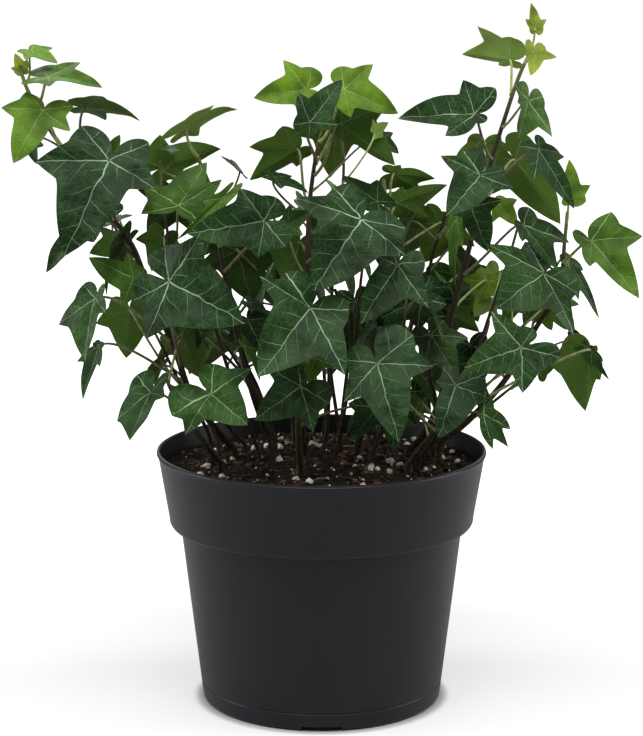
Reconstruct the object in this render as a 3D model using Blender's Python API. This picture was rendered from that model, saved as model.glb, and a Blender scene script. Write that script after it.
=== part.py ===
"""Potted ivy: a nursery pot, its soil, the stems that stand in the soil, and the leaves on the stems.

The frame is metres with +Z up. The origin is the middle of the pot's flat underside, and -Y is the front.
Heights of stems and leaves are measured from the soil, so the plant follows the pot.
"""

import math

import bmesh
import bpy
from mathutils import Matrix, Vector

MM = 0.001

# Pot
pot_height = 118.0 * MM
rim_radius = 76.0 * MM
collar_height = 35.5 * MM
collar_taper = 5.6 * MM
collar_round = 3.5 * MM
collar_step = 5.4 * MM
body_taper = 9.4 * MM
foot_round = 2.5 * MM
wall = 1.8 * MM
rim_bead = 0.8 * MM
rim_bead_height = 2.6 * MM
floor_thickness = 4.0 * MM
pot_sides = 40

# Drainage on the underside
groove_count = 4
groove_width = 18.0 * MM
groove_depth = 2.2 * MM
groove_start = 20.0 * MM
drain_hole_radius = 4.5 * MM
drain_hole_inset = 15.6 * MM

# Soil
headspace = 9.0 * MM
soil_mound = 4.0 * MM
soil_rings = 4

# Stems and leaves
fit_gap = 0.3 * MM
stem_foot_radius = 1.7 * MM
stem_tip_radius = 0.8 * MM
stem_depth_in_soil = 14.0 * MM
stem_straight_rise = 7.0 * MM
stem_step = 14.0 * MM
stem_sides = 6
planting_margin = 9.0 * MM
socket_sides = 12
blade_thickness = 0.5 * MM
stalk_radius = 0.75 * MM
stalk_sides = 4
stalk_steps = 3

collar_foot_radius = rim_radius - collar_taper
body_top_radius = collar_foot_radius - collar_step
foot_radius = body_top_radius - body_taper
collar_foot_height = pot_height - collar_height
soil_level = pot_height - headspace
soil_radius_at_top = rim_radius - wall - fit_gap
planting_radius = soil_radius_at_top - planting_margin

# Each stem: its foot, as shares of the planting circle to the right and to the back, then the places it
# passes, in millimetres to the right, to the back, and above the soil.
STEMS = {
    "left": ((-0.62, 0.05), [(-49, 0, 18), (-60, -6, 36), (-66, -12, 56), (-77, -20, 86), (-84, -23, 106),
                             (-95, -24, 122), (-114, -26, 150), (-124, -26, 166), (-130, -24, 178),
                             (-132, -22, 186)]),
    "inner_left": ((-0.34, 0.20), [(-27, 11, 18), (-33, 5, 38), (-41, -3, 74), (-46, -7, 105),
                                   (-48, -7, 124), (-55, -4, 142), (-60, -4, 151)]),
    "centre": ((-0.12, 0.06), [(-9, 0, 18), (-8, -4, 42), (-7, -6, 79), (-6, -4, 111), (-5, 0, 126),
                               (-2, 2, 146), (3, 2, 163)]),
    "inner_right": ((0.26, 0.12), [(19, 6, 18), (23, 0, 46), (26, -4, 84), (29, -2, 119), (28, 2, 133)]),
    "right": ((0.62, 0.02), [(49, 0, 18), (57, -4, 42), (58, -8, 66), (65, -12, 98), (75, -16, 141),
                             (81, -14, 161), (88, -10, 181), (94, -8, 193)]),
    "far_right": ((0.84, 0.26), [(68, 15, 18), (85, 9, 39), (98, 3, 64), (108, -2, 83), (110, -4, 106),
                                 (111, -4, 119)]),
    "low_left": ((-0.70, -0.34), [(-52, -25, 16), (-62, -31, 32), (-70, -34, 50)]),
    "front": ((-0.14, -0.50), [(-10, -37, 18), (-10, -43, 36), (-6, -46, 58)]),
    "low_right": ((0.60, -0.42), [(45, -30, 16), (56, -34, 30), (66, -36, 42)]),
    "back_left": ((-0.38, 0.58), [(-29, 44, 18), (-38, 53, 44), (-44, 60, 72), (-46, 62, 92)]),
    "back_right": ((0.40, 0.60), [(31, 46, 18), (40, 56, 44), (47, 63, 74), (48, 64, 94)]),
}

# The way a blade's upper side faces.
FRONT = (0.0, -1.0, 0.25)
UP = (0.0, -0.3, 1.0)
BACK = (0.0, 1.0, 0.3)
BACK_UP = (0.0, 0.6, 1.0)
LEFT = (-0.7, -1.0, 0.3)
RIGHT = (0.7, -1.0, 0.3)

# Each leaf: name, stem, height above the soil where its stalk leaves the stem, the blade's base and tip in
# millimetres (to the right, to the back, above the soil), the way it faces, and its width for its length.
LEAVES = [
    ("left_leaf_01", "left", 168, (-119, -30, 181), (-95, -36, 177), UP, 1.2),
    ("left_leaf_02", "left", 150, (-121, -36, 167), (-133, -46, 145), FRONT, 1.2),
    ("left_leaf_03", "left", 118, (-92, -44, 146), (-110, -62, 107), FRONT, 1.0),
    ("left_leaf_04", "left", 78, (-83, -32, 93), (-102, -38, 103), FRONT, 1.3),
    ("left_leaf_05", "left", 62, (-98, -52, 87), (-101, -66, 62), LEFT, 1.0),
    ("left_leaf_06", "left", 42, (-99, -28, 62), (-106, -36, 39), LEFT, 0.9),
    ("left_leaf_07", "left", 50, (-66, -50, 94), (-33, -64, 78), FRONT, 1.1),
    ("inner_left_leaf_01", "inner_left", 144, (-60, -10, 157), (-38, -2, 165), BACK_UP, 1.2),
    ("inner_left_leaf_02", "inner_left", 128, (-72, 4, 138), (-46, 12, 146), BACK, 1.0),
    ("inner_left_leaf_03", "inner_left", 110, (-63, -24, 124), (-51, -14, 142), FRONT, 1.3),
    ("inner_left_leaf_04", "inner_left", 92, (-25, -38, 119), (-58, -52, 115), FRONT, 1.0),
    ("centre_leaf_01", "centre", 160, (-7, -8, 174), (-30, -16, 171), FRONT, 1.2),
    ("centre_leaf_02", "centre", 150, (10, -5, 174), (34, -15, 164), FRONT, 1.2),
    ("centre_leaf_03", "centre", 142, (-5, -26, 161), (9, -17, 179), FRONT, 1.2),
    ("centre_leaf_04", "centre", 135, (9, 2, 158), (33, -6, 140), BACK, 1.1),
    ("centre_leaf_05", "centre", 122, (-11, 8, 146), (-33, 16, 131), BACK, 1.1),
    ("centre_leaf_06", "centre", 96, (17, -48, 121), (-4, -64, 92), FRONT, 1.15),
    ("inner_right_leaf_01", "inner_right", 112, (34, 6, 122), (58, 14, 130), BACK, 1.1),
    ("inner_right_leaf_02", "inner_right", 80, (33, -40, 100), (17, -52, 76), FRONT, 1.1),
    ("right_leaf_01", "right", 191, (94, -14, 201), (92, -14, 212.5), FRONT, 1.2),
    ("right_leaf_02", "right", 172, (84, -4, 187), (63, 4, 189), BACK, 1.4),
    ("right_leaf_03", "right", 158, (91, -20, 170), (86, -26, 154), RIGHT, 1.3),
    ("right_leaf_04", "right", 144, (67, -28, 165), (33, -42, 164), FRONT, 1.0),
    ("right_leaf_05", "right", 130, (95, -32, 150), (110, -42, 125), FRONT, 1.0),
    ("right_leaf_06", "right", 116, (69, -38, 139), (54, -50, 123), FRONT, 1.2),
    ("right_leaf_07", "right", 120, (88, 10, 141), (110, 16, 111), BACK, 1.0),
    ("right_leaf_08", "right", 92, (90, -30, 117), (105, -38, 100), FRONT, 1.0),
    ("right_leaf_09", "right", 60, (49, -24, 66), (61, -34, 47), FRONT, 1.0),
    ("far_right_leaf_01", "far_right", 114, (112, -8, 126), (113, -2, 144), FRONT, 1.1),
    ("far_right_leaf_02", "far_right", 96, (120, -22, 108), (140, -36, 84), FRONT, 1.1),
    ("far_right_leaf_03", "far_right", 78, (99, -27, 94), (77, -40, 81), UP, 1.2),
    ("far_right_leaf_04", "far_right", 60, (113, 15, 95), (128, 9, 68), RIGHT, 0.9),
    ("far_right_leaf_05", "low_right", 26, (122, -10, 56), (121, -4, 27), BACK, 1.2),
    ("low_left_leaf_01", "low_left", 36, (-75, -50, 45), (-83, -62, 26), LEFT, 1.2),
    ("low_left_leaf_02", "low_left", 30, (-48, -58, 46), (-32, -70, 35), FRONT, 1.5),
    ("front_leaf_01", "front", 52, (-5, -60, 84), (-27, -78, 57), FRONT, 1.1),
    ("front_leaf_02", "front", 34, (-9, -52, 48), (-29, -62, 35), FRONT, 1.3),
    ("low_right_leaf_01", "low_right", 24, (24, -56, 59), (33, -74, 28), FRONT, 1.05),
    ("low_right_leaf_02", "low_right", 34, (87, -49, 65), (62, -60, 58), FRONT, 1.2),
    ("low_right_leaf_03", "low_right", 32, (59, -44, 47), (51, -56, 26), FRONT, 1.1),
    ("back_left_leaf_01", "back_left", 84, (-48, 76, 104), (-60, 98, 84), BACK, 1.1),
    ("back_left_leaf_02", "back_left", 60, (-26, 78, 78), (-14, 98, 54), BACK, 1.1),
    ("back_left_leaf_03", "back_left", 36, (-52, 74, 50), (-66, 92, 26), BACK, 1.1),
    ("back_right_leaf_01", "back_right", 86, (52, 80, 106), (40, 102, 84), BACK, 1.1),
    ("back_right_leaf_02", "back_right", 62, (66, 76, 78), (78, 94, 52), BACK, 1.1),
    ("back_right_leaf_03", "back_right", 38, (26, 74, 52), (22, 96, 28), BACK, 1.1),
    ("back_right_leaf_04", "back_right", 20, (56, 66, 34), (70, 82, 12), BACK, 1.1),
]

# Half of a blade's outline, from its tip round to its base: degrees from the tip, and distance from the base
# as a share of the length. The sides are mirror images.
HALF_OUTLINE = [(18, 0.64), (32, 0.54), (62, 0.64), (95, 0.37), (130, 0.45)]
NOTCH = 0.07
blade_fold = 0.16
blade_droop = 0.14


def clear_scene():
    for item in list(bpy.data.objects):
        bpy.data.objects.remove(item)


def plain_material(name, colour, roughness):
    material = bpy.data.materials.new(name)
    material.use_nodes = True
    shader = material.node_tree.nodes["Principled BSDF"]
    shader.inputs["Base Color"].default_value = (*colour, 1.0)
    shader.inputs["Roughness"].default_value = roughness
    shader.inputs["Metallic"].default_value = 0.0
    return material


def add_object(name, bm, material=None, smooth=True):
    bmesh.ops.recalc_face_normals(bm, faces=bm.faces)
    mesh = bpy.data.meshes.new(name)
    bm.to_mesh(mesh)
    bm.free()
    if smooth:
        mesh.shade_smooth()
        mesh.set_sharp_from_angle(angle=math.radians(35))
    item = bpy.data.objects.new(name, mesh)
    bpy.context.scene.collection.objects.link(item)
    if material:
        mesh.materials.append(material)
    return item


def hide_helper(item):
    item.hide_render = True
    item.display_type = "WIRE"


def cut_with(item, cutter, label):
    hide_helper(cutter)
    modifier = item.modifiers.new(label, "BOOLEAN")
    modifier.operation = "DIFFERENCE"
    modifier.object = cutter


def turn_profile(name, profile, sides, material):
    """Spins (radius, height) points about Z. The profile starts and ends on the axis."""
    bm = bmesh.new()
    points = [bm.verts.new((radius, 0.0, height)) for radius, height in profile]
    edges = [bm.edges.new(pair) for pair in zip(points, points[1:])]
    bmesh.ops.spin(
        bm,
        geom=points + edges,
        cent=(0, 0, 0),
        axis=(0, 0, 1),
        angle=math.tau,
        steps=sides,
        use_merge=True,
    )
    bmesh.ops.remove_doubles(bm, verts=bm.verts, dist=0.01 * MM)
    return add_object(name, bm, material)


def round_corner(centre, radius, start, end, steps):
    """Points on an arc in the profile's plane, angles in degrees."""
    points = []
    for step in range(steps + 1):
        angle = math.radians(start + (end - start) * step / steps)
        points.append((centre[0] + radius * math.cos(angle), centre[1] + radius * math.sin(angle)))
    return points


def inner_radius(height):
    """The pot's inner radius at a height above the step."""
    share = (height - collar_foot_height) / collar_height
    return collar_foot_radius + (rim_radius - collar_foot_radius) * share - wall


def make_pot(material):
    under_bead = pot_height - rim_bead_height
    outer = [(0.0, 0.0)]
    outer += round_corner((foot_radius - foot_round, foot_round), foot_round, -90, 0, 3)
    outer.append((body_top_radius, collar_foot_height))
    outer += round_corner(
        (collar_foot_radius - collar_round, collar_foot_height + collar_round), collar_round, -90, 0, 3
    )
    outer += [
        (rim_radius - rim_bead, under_bead),
        (rim_radius, under_bead + rim_bead),
        (rim_radius, pot_height - rim_bead / 2),
        (rim_radius - rim_bead / 2, pot_height),
    ]
    inner = [
        (rim_radius - wall, pot_height),
        (inner_radius(collar_foot_height + wall), collar_foot_height + wall),
        (body_top_radius - wall, collar_foot_height + wall),
        (foot_radius - wall, floor_thickness),
        (0.0, floor_thickness),
    ]
    pot = turn_profile("pot", outer + inner, pot_sides, material)
    cut_with(pot, make_groove_cutter(), "drain grooves")
    cut_with(pot, make_drain_hole_cutter(), "drain holes")
    return pot


def make_groove_cutter():
    bm = bmesh.new()
    length = foot_radius + foot_round
    size = Matrix.Diagonal((length - groove_start, groove_width, 2 * groove_depth, 1.0))
    place = Matrix.Translation(((length + groove_start) / 2, 0.0, 0.0))
    for index in range(groove_count):
        turn = Matrix.Rotation(math.tau * index / groove_count, 4, "Z")
        bmesh.ops.create_cube(bm, size=1.0, matrix=turn @ place @ size)
    return add_object("groove_cutter", bm)


def make_drain_hole_cutter():
    bm = bmesh.new()
    for index in range(groove_count):
        turn = Matrix.Rotation(math.tau * index / groove_count, 4, "Z")
        bmesh.ops.create_cone(
            bm,
            cap_ends=True,
            segments=12,
            radius1=drain_hole_radius,
            radius2=drain_hole_radius,
            depth=4 * floor_thickness,
            matrix=turn @ Matrix.Translation((foot_radius - drain_hole_inset, 0.0, 0.0)),
        )
    return add_object("drain_hole_cutter", bm)


def make_soil(material, stem_feet):
    foot = floor_thickness + fit_gap
    step = collar_foot_height + wall + fit_gap
    profile = [
        (0.0, foot),
        (foot_radius - wall - fit_gap, foot),
        (body_top_radius - wall - fit_gap, step),
        (inner_radius(step) - fit_gap, step),
        (inner_radius(soil_level) - fit_gap, soil_level),
    ]
    for ring in range(soil_rings - 1, -1, -1):
        share = ring / soil_rings
        radius = (inner_radius(soil_level) - fit_gap) * share
        profile.append((radius, soil_level + soil_mound * (1 - share**2)))
    soil = turn_profile("soil", profile, pot_sides, material)
    cut_with(soil, make_socket_cutter(stem_feet), "stem sockets")
    return soil


def make_socket_cutter(stem_feet):
    bm = bmesh.new()
    bottom = soil_level - stem_depth_in_soil - fit_gap
    top = soil_level + 3 * soil_mound
    for x, y in stem_feet:
        bmesh.ops.create_cone(
            bm,
            cap_ends=True,
            segments=socket_sides,
            radius1=stem_foot_radius + fit_gap,
            radius2=stem_foot_radius + fit_gap,
            depth=top - bottom,
            matrix=Matrix.Translation((x, y, (top + bottom) / 2)),
        )
    return add_object("socket_cutter", bm)


def smooth_route(points, step):
    """Points about one step apart on a smooth curve through the given points."""
    ends = [points[0] * 2 - points[1]] + points + [points[-1] * 2 - points[-2]]
    route = []
    for before, start, end, after in zip(ends, ends[1:], ends[2:], ends[3:]):
        count = max(1, round((end - start).length / step))
        for index in range(count):
            t = index / count
            route.append(
                0.5
                * (
                    start * 2
                    + (end - before) * t
                    + (before * 2 - start * 5 + end * 4 - after) * t**2
                    + (start * 3 - before - end * 3 + after) * t**3
                )
            )
    return route + [points[-1]]


def sweep_tube(bm, route, radii, sides):
    """A tube with closed ends along the route, its frame carried from point to point without twisting."""
    along = (route[1] - route[0]).normalized()
    turn = along.to_track_quat("Z", "Y")
    frame = Matrix.LocRotScale(route[0], turn, Vector((1, 1, 1)) * radii[0])
    ring = bmesh.ops.create_circle(bm, cap_ends=True, segments=sides, radius=1.0, matrix=frame)
    face = ring["verts"][0].link_faces[0]
    for index in range(1, len(route)):
        nearby = route[min(index + 1, len(route) - 1)] - route[index - 1]
        turn = along.rotation_difference(nearby.normalized()) @ turn
        along = nearby.normalized()
        next_frame = Matrix.LocRotScale(route[index], turn, Vector((1, 1, 1)) * radii[index])
        last_cap = face
        grown = bmesh.ops.extrude_face_region(bm, geom=[last_cap])["geom"]
        verts = [item for item in grown if isinstance(item, bmesh.types.BMVert)]
        face = next(item for item in grown if isinstance(item, bmesh.types.BMFace))
        if index > 1:
            bmesh.ops.delete(bm, geom=[last_cap], context="FACES_ONLY")
        bmesh.ops.transform(bm, matrix=next_frame @ frame.inverted(), verts=verts)
        frame = next_frame


def stem_route(name):
    (right, back), places = STEMS[name]
    foot = Vector((right * planting_radius, back * planting_radius, soil_level))
    points = [
        foot - Vector((0, 0, stem_depth_in_soil)),
        foot + Vector((0, 0, stem_straight_rise)),
    ]
    points += [above_soil(place) for place in places]
    straight = points[:2]
    return straight[:1] + smooth_route(points[1:], stem_step)


def above_soil(place):
    return Vector(place) * MM + Vector((0, 0, soil_level))


def stem_radii(route):
    last = len(route) - 1
    return [
        stem_foot_radius + (stem_tip_radius - stem_foot_radius) * max(0, index - 1) / (last - 1)
        for index in range(len(route))
    ]


def make_stem(name, material):
    route = stem_route(name)
    bm = bmesh.new()
    sweep_tube(bm, route, stem_radii(route), stem_sides)
    return add_object(f"{name}_stem", bm, material)


def point_on_stem(name, height):
    """The stem's centre, direction and radius at a height above the soil."""
    route = stem_route(name)
    radii = stem_radii(route)
    level = soil_level + height * MM
    for index in range(1, len(route) - 1):
        low, high = route[index], route[index + 1]
        if low.z <= level <= high.z:
            share = (level - low.z) / (high.z - low.z)
            radius = radii[index] + (radii[index + 1] - radii[index]) * share
            return low.lerp(high, share), (high - low).normalized(), radius
    return route[-1], (route[-1] - route[-2]).normalized(), radii[-1]


def blade_frame(base, tip, facing):
    """X runs to the tip, Z out of the upper side, and the origin is where the stalk meets the blade."""
    along = (tip - base).normalized()
    across = Vector(facing).cross(along).normalized()
    upper = along.cross(across)
    turn = Matrix((along, across, upper)).transposed().to_4x4()
    return Matrix.Translation(base) @ turn


def blade_outline(length, width):
    side = [
        (length * share * math.cos(math.radians(angle)), length * share * math.sin(math.radians(angle)) * width)
        for angle, share in HALF_OUTLINE
    ]
    return [(length, 0.0)] + side + [(-NOTCH * length, 0.0)] + [(x, -y) for x, y in reversed(side)]


def make_blade(name, base, tip, facing, width, material):
    """A thin lobed plate: a fan of faces round the base with one ring between, folded and drooping."""
    length = (tip - base).length
    bm = bmesh.new()
    corners = [bm.verts.new((x, y, 0.0)) for x, y in blade_outline(length, width)]
    middle = bmesh.ops.poke(bm, faces=[bm.faces.new(corners)])["verts"][0]
    middle.co = (0.0, 0.0, 0.0)
    spokes = list(middle.link_edges)
    bmesh.ops.subdivide_edges(bm, edges=spokes, cuts=1, use_grid_fill=False)
    for vert in bm.verts:
        vert.co.z = blade_fold * abs(vert.co.y) - blade_droop * vert.co.x**2 / length
    bmesh.ops.triangulate(bm, faces=bm.faces)
    bmesh.ops.transform(bm, matrix=blade_frame(base, tip, facing), verts=bm.verts)
    leaf = add_object(name, bm, material)
    thickness = leaf.modifiers.new("thickness", "SOLIDIFY")
    thickness.thickness = blade_thickness
    thickness.offset = 0.0
    return leaf


def stalk_route(start, base, tip, facing):
    """A leaf stalk leaves the stem sideways and rises, then meets the blade's base from below."""
    upper = blade_frame(base, tip, facing).col[2].to_3d()
    away = Vector((base.x - start.x, base.y - start.y, 0.0))
    reach = (base - start).length
    leaving = start + (away.normalized() * 0.3 + Vector((0, 0, 0.2))) * reach
    arriving = base - (upper * 0.22 + (tip - base).normalized() * 0.16) * reach
    end = base + upper * blade_thickness
    route = []
    for index in range(stalk_steps + 1):
        t = index / stalk_steps
        route.append(
            start * (1 - t) ** 3
            + leaving * (3 * t * (1 - t) ** 2)
            + arriving * (3 * t**2 * (1 - t))
            + end * t**3
        )
    return route


def make_leaf(row, material):
    name, stem, height, base, tip, facing, width = row
    base = above_soil(base)
    tip = above_soil(tip)
    leaf = make_blade(name, base, tip, facing, width, material)
    centre, direction, radius = point_on_stem(stem, height)
    away = base - centre
    away = (away - direction * away.dot(direction)).normalized()
    start = centre + away * (radius + fit_gap + stalk_radius)
    route = stalk_route(start, base, tip, facing)
    bm = bmesh.new()
    sweep_tube(bm, route, [stalk_radius] * len(route), stalk_sides)
    stalk = add_object(f"{name}_stalk", bm)
    hide_helper(stalk)
    joined = leaf.modifiers.new("stalk", "BOOLEAN")
    joined.operation = "UNION"
    joined.object = stalk
    return leaf


def main():
    clear_scene()
    plastic = plain_material("charcoal_plastic", (0.016, 0.016, 0.019), 0.42)
    peat = plain_material("potting_soil", (0.018, 0.011, 0.007), 0.95)
    bark = plain_material("ivy_stem", (0.075, 0.045, 0.030), 0.7)
    green = plain_material("ivy_leaf", (0.030, 0.085, 0.030), 0.4)
    make_pot(plastic)
    feet = [stem_route(name)[0].to_2d() for name in STEMS]
    make_soil(peat, feet)
    for name in STEMS:
        make_stem(name, bark)
    for row in LEAVES:
        make_leaf(row, green)


main()
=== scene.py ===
import math
import random

import bmesh
import bpy
from mathutils import Matrix, Vector, noise


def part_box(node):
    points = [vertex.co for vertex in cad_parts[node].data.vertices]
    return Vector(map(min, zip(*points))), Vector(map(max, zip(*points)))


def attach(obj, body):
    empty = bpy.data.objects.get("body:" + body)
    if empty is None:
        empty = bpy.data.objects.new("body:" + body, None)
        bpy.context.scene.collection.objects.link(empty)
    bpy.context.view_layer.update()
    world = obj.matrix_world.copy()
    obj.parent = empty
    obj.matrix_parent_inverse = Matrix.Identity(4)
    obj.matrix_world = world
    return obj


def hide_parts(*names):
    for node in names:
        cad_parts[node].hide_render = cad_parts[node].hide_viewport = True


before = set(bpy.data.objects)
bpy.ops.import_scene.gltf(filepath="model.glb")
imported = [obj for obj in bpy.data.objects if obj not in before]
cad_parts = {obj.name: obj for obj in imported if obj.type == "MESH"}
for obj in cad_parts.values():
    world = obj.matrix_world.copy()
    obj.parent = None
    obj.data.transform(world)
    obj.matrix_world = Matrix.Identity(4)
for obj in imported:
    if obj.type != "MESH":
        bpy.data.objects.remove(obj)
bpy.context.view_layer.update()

MM = 0.001
rng = random.Random(7)


# --- Room -----------------------------------------------------------------------------------------------
# A bare studio table: a white floor, a white surround, and large soft lamps above and at both sides.
# The side towards the camera stays dim, so dark plastic keeps a dark middle and pale edges.

scene = bpy.context.scene
scene.view_settings.view_transform = "Standard"

camera_distance = 1.0493
camera_height = 0.3554
camera_pitch = math.radians(10.79)
camera_lens = 113.9

camera_data = bpy.data.cameras.new("camera")
camera_data.lens = camera_lens
camera_data.sensor_width = 36.0
camera = bpy.data.objects.new("camera", camera_data)
camera.location = (0.0, -camera_distance, camera_height)
camera.rotation_euler = (math.pi / 2 - camera_pitch, 0.0, 0.0)
scene.collection.objects.link(camera)
scene.camera = camera


def simple_shader(name):
    """A new material, its node tree and its Principled shader."""
    material = bpy.data.materials.new(name)
    material.use_nodes = True
    return material, material.node_tree, material.node_tree.nodes["Principled BSDF"]


def join_socket(tree, socket, value):
    """Links a socket to another one, or sets it to a plain value."""
    if isinstance(value, bpy.types.NodeSocket):
        tree.links.new(value, socket)
    elif value is not None:
        socket.default_value = value


def calc(tree, operation, first, second=None, third=None, clamp=False):
    """One Math node. Each operand is a number or a socket."""
    node = tree.nodes.new("ShaderNodeMath")
    node.operation = operation
    node.use_clamp = clamp
    for socket, value in zip(node.inputs, (first, second, third)):
        join_socket(tree, socket, value)
    return node.outputs[0]


def blend_colour(tree, share, first, second, mode="MIX"):
    """Mixes two colours. Each one is an RGBA tuple or a socket."""
    node = tree.nodes.new("ShaderNodeMix")
    node.data_type = "RGBA"
    node.blend_type = mode
    join_socket(tree, node.inputs["Factor"], share)
    join_socket(tree, node.inputs["A"], first)
    join_socket(tree, node.inputs["B"], second)
    return node.outputs["Result"]


def between(tree, value, low, high, to_low=0.0, to_high=1.0):
    """A smooth step of value from low to high."""
    node = tree.nodes.new("ShaderNodeMapRange")
    node.interpolation_type = "SMOOTHSTEP"
    join_socket(tree, node.inputs["Value"], value)
    for label, number in (("From Min", low), ("From Max", high), ("To Min", to_low), ("To Max", to_high)):
        join_socket(tree, node.inputs[label], number)
    return node.outputs["Result"]


def speckle(tree, where, scale, detail=4.0, roughness=0.55):
    """A noise value between about 0.2 and 0.8."""
    node = tree.nodes.new("ShaderNodeTexNoise")
    join_socket(tree, node.inputs["Vector"], where)
    node.inputs["Scale"].default_value = scale
    node.inputs["Detail"].default_value = detail
    node.inputs["Roughness"].default_value = roughness
    return node.outputs["Fac"]


def add_bump(tree, shader, height, distance, strength=1.0):
    """Raises the surface by up to the distance, in metres, where the height is 1."""
    node = tree.nodes.new("ShaderNodeBump")
    node.inputs["Distance"].default_value = distance
    node.inputs["Strength"].default_value = strength
    tree.links.new(height, node.inputs["Height"])
    tree.links.new(node.outputs["Normal"], shader.inputs["Normal"])


def object_place(tree):
    return tree.nodes.new("ShaderNodeTexCoord").outputs["Object"]


# The floor gives the camera painted light of its own: none under the pot, which paints its shadow there, a
# little round it as painted shade, and full white far away.
floor_size = 60.0
floor_glow = 0.45
far_glow = 1.0
glow_radius = 0.14
painted_shadow_radius = 0.056
painted_shadow_end = 0.061
far_radius = 0.60
world_glow = 0.11
bm = bmesh.new()
bmesh.ops.create_grid(bm, x_segments=1, y_segments=1, size=floor_size / 2)
floor_mesh = bpy.data.meshes.new("floor")
bm.to_mesh(floor_mesh)
bm.free()
floor = bpy.data.objects.new("floor", floor_mesh)
scene.collection.objects.link(floor)
floor_paint, tree, shader = simple_shader("floor_paint")
shader.inputs["Roughness"].default_value = 0.9
floor_tone = blend_colour(
    tree, speckle(tree, object_place(tree), 3.0), (0.46, 0.46, 0.46, 1.0), (0.50, 0.50, 0.50, 1.0)
)
tree.links.new(floor_tone, shader.inputs["Base Color"])
shader.inputs["Emission Color"].default_value = (1.0, 1.0, 1.0, 1.0)
floor_seen = tree.nodes.new("ShaderNodeLightPath").outputs["Is Camera Ray"]
reach = tree.nodes.new("ShaderNodeVectorMath")
reach.operation = "LENGTH"
tree.links.new(object_place(tree), reach.inputs[0])
glow = between(tree, reach.outputs["Value"], glow_radius, far_radius, floor_glow, far_glow)
# Painted shadow: the floor's glow fades to nothing under the pot and close round its foot.
glow = calc(tree, "MULTIPLY", glow, between(tree, reach.outputs["Value"], painted_shadow_radius, painted_shadow_end))
tree.links.new(calc(tree, "MULTIPLY", floor_seen, glow), shader.inputs["Emission Strength"])
floor_mesh.materials.append(floor_paint)

world = bpy.data.worlds.new("studio")
world.use_nodes = True
scene.world = world
tree = world.node_tree
background = tree.nodes["Background"]
sees_camera = tree.nodes.new("ShaderNodeLightPath").outputs["Is Camera Ray"]
background.inputs["Color"].default_value = (1.0, 1.0, 1.0, 1.0)
tree.links.new(calc(tree, "ADD", sees_camera, world_glow), background.inputs["Strength"])


def soft_lamp(name, place, aim, width, height, power):
    """A large rectangular lamp, sized in metres, that points at its aim."""
    data = bpy.data.lights.new(name, "AREA")
    data.shape = "RECTANGLE"
    data.size = width
    data.size_y = height
    data.energy = power
    lamp = bpy.data.objects.new(name, data)
    lamp.location = place
    lamp.rotation_euler = (Vector(aim) - Vector(place)).to_track_quat("-Z", "Y").to_euler()
    scene.collection.objects.link(lamp)


soft_lamp("lamp_above", (0.0, -0.9, 2.1), (0.0, 0.0, 0.15), 2.4, 1.6, 50.0)
soft_lamp("lamp_left", (-1.6, 0.15, 0.7), (0.0, 0.0, 0.12), 0.9, 1.3, 18.0)
soft_lamp("lamp_right", (1.6, 0.15, 0.7), (0.0, 0.0, 0.12), 0.9, 1.3, 18.0)
soft_lamp("lamp_behind", (0.0, 1.6, 1.1), (0.0, 0.0, 0.1), 2.2, 1.2, 12.0)


# --- Pot ------------------------------------------------------------------------------------------------
# One thin shell of charcoal polypropylene, injection moulded: a deep collar with a small bead round its rim,
# a stepped-in body that tapers to a rounded foot, and drain grooves with holes across its underside.

pot_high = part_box("pot")[1]
pot_height = pot_high.z
rim_radius = pot_high.x
collar_height = 35.5 * MM
collar_foot_radius = rim_radius - 5.6 * MM
body_top_radius = collar_foot_radius - 5.4 * MM
foot_radius = body_top_radius - 9.4 * MM
collar_round = 3.5 * MM
foot_round = 2.5 * MM
wall = 1.8 * MM
floor_thickness = 4.0 * MM
bead = 0.8 * MM
bead_height = 2.6 * MM
foot_line_height = 8.0 * MM
foot_line_depth = 0.35 * MM
step_round = 1.2 * MM
sharp_edge = 35.0
groove_count = 4
groove_start = 20.0 * MM
groove_width = 18.0 * MM
groove_depth = 2.2 * MM
hole_radius = 4.5 * MM
hole_place = foot_radius - 15.6 * MM
pot_sides = 192
collar_foot = pot_height - collar_height


def arc(centre, radius, start, end, steps):
    """Points of a turned profile along an arc, with angles in degrees."""
    points = []
    for step in range(steps + 1):
        angle = math.radians(start + (end - start) * step / steps)
        points.append((centre[0] + radius * math.cos(angle), centre[1] + radius * math.sin(angle)))
    return points


def straight(start, end, steps):
    """Points of a turned profile along a straight wall, without its ends."""
    return [
        (start[0] + (end[0] - start[0]) * step / steps, start[1] + (end[1] - start[1]) * step / steps)
        for step in range(1, steps)
    ]


def body_radius(height):
    """The outside of the tapering body."""
    return foot_radius + (body_top_radius - foot_radius) * (height - foot_round) / (collar_foot - foot_round)


def collar_inside(height):
    """The inside of the collar, which leans out a little."""
    share = (height - collar_foot) / collar_height
    return collar_foot_radius + (rim_radius - collar_foot_radius) * share - wall


def turned(profile, sides):
    """A bmesh of (radius, height) points spun about the Z axis."""
    bm = bmesh.new()
    points = [bm.verts.new((radius, 0.0, height)) for radius, height in profile]
    edges = [bm.edges.new(pair) for pair in zip(points, points[1:])]
    bmesh.ops.spin(
        bm, geom=points + edges, cent=(0, 0, 0), axis=(0, 0, 1), angle=math.tau, steps=sides, use_merge=True
    )
    bmesh.ops.remove_doubles(bm, verts=bm.verts, dist=0.01 * MM)
    bmesh.ops.recalc_face_normals(bm, faces=bm.faces)
    return bm


def add_mesh(name, bm, materials, sharp=sharp_edge):
    """Makes the bmesh an object at the origin, shaded smooth up to the sharp angle."""
    mesh = bpy.data.meshes.new(name)
    bm.to_mesh(mesh)
    bm.free()
    mesh.shade_smooth()
    mesh.set_sharp_from_angle(angle=math.radians(sharp))
    for material in materials:
        mesh.materials.append(material)
    item = bpy.data.objects.new(name, mesh)
    scene.collection.objects.link(item)
    return item


def settle(piece, slot, *nodes):
    """Every piece rides with the plant's one body, and stands for the nodes that it is named for."""
    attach(piece, "root")
    if nodes:
        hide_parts(*nodes)


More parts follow.
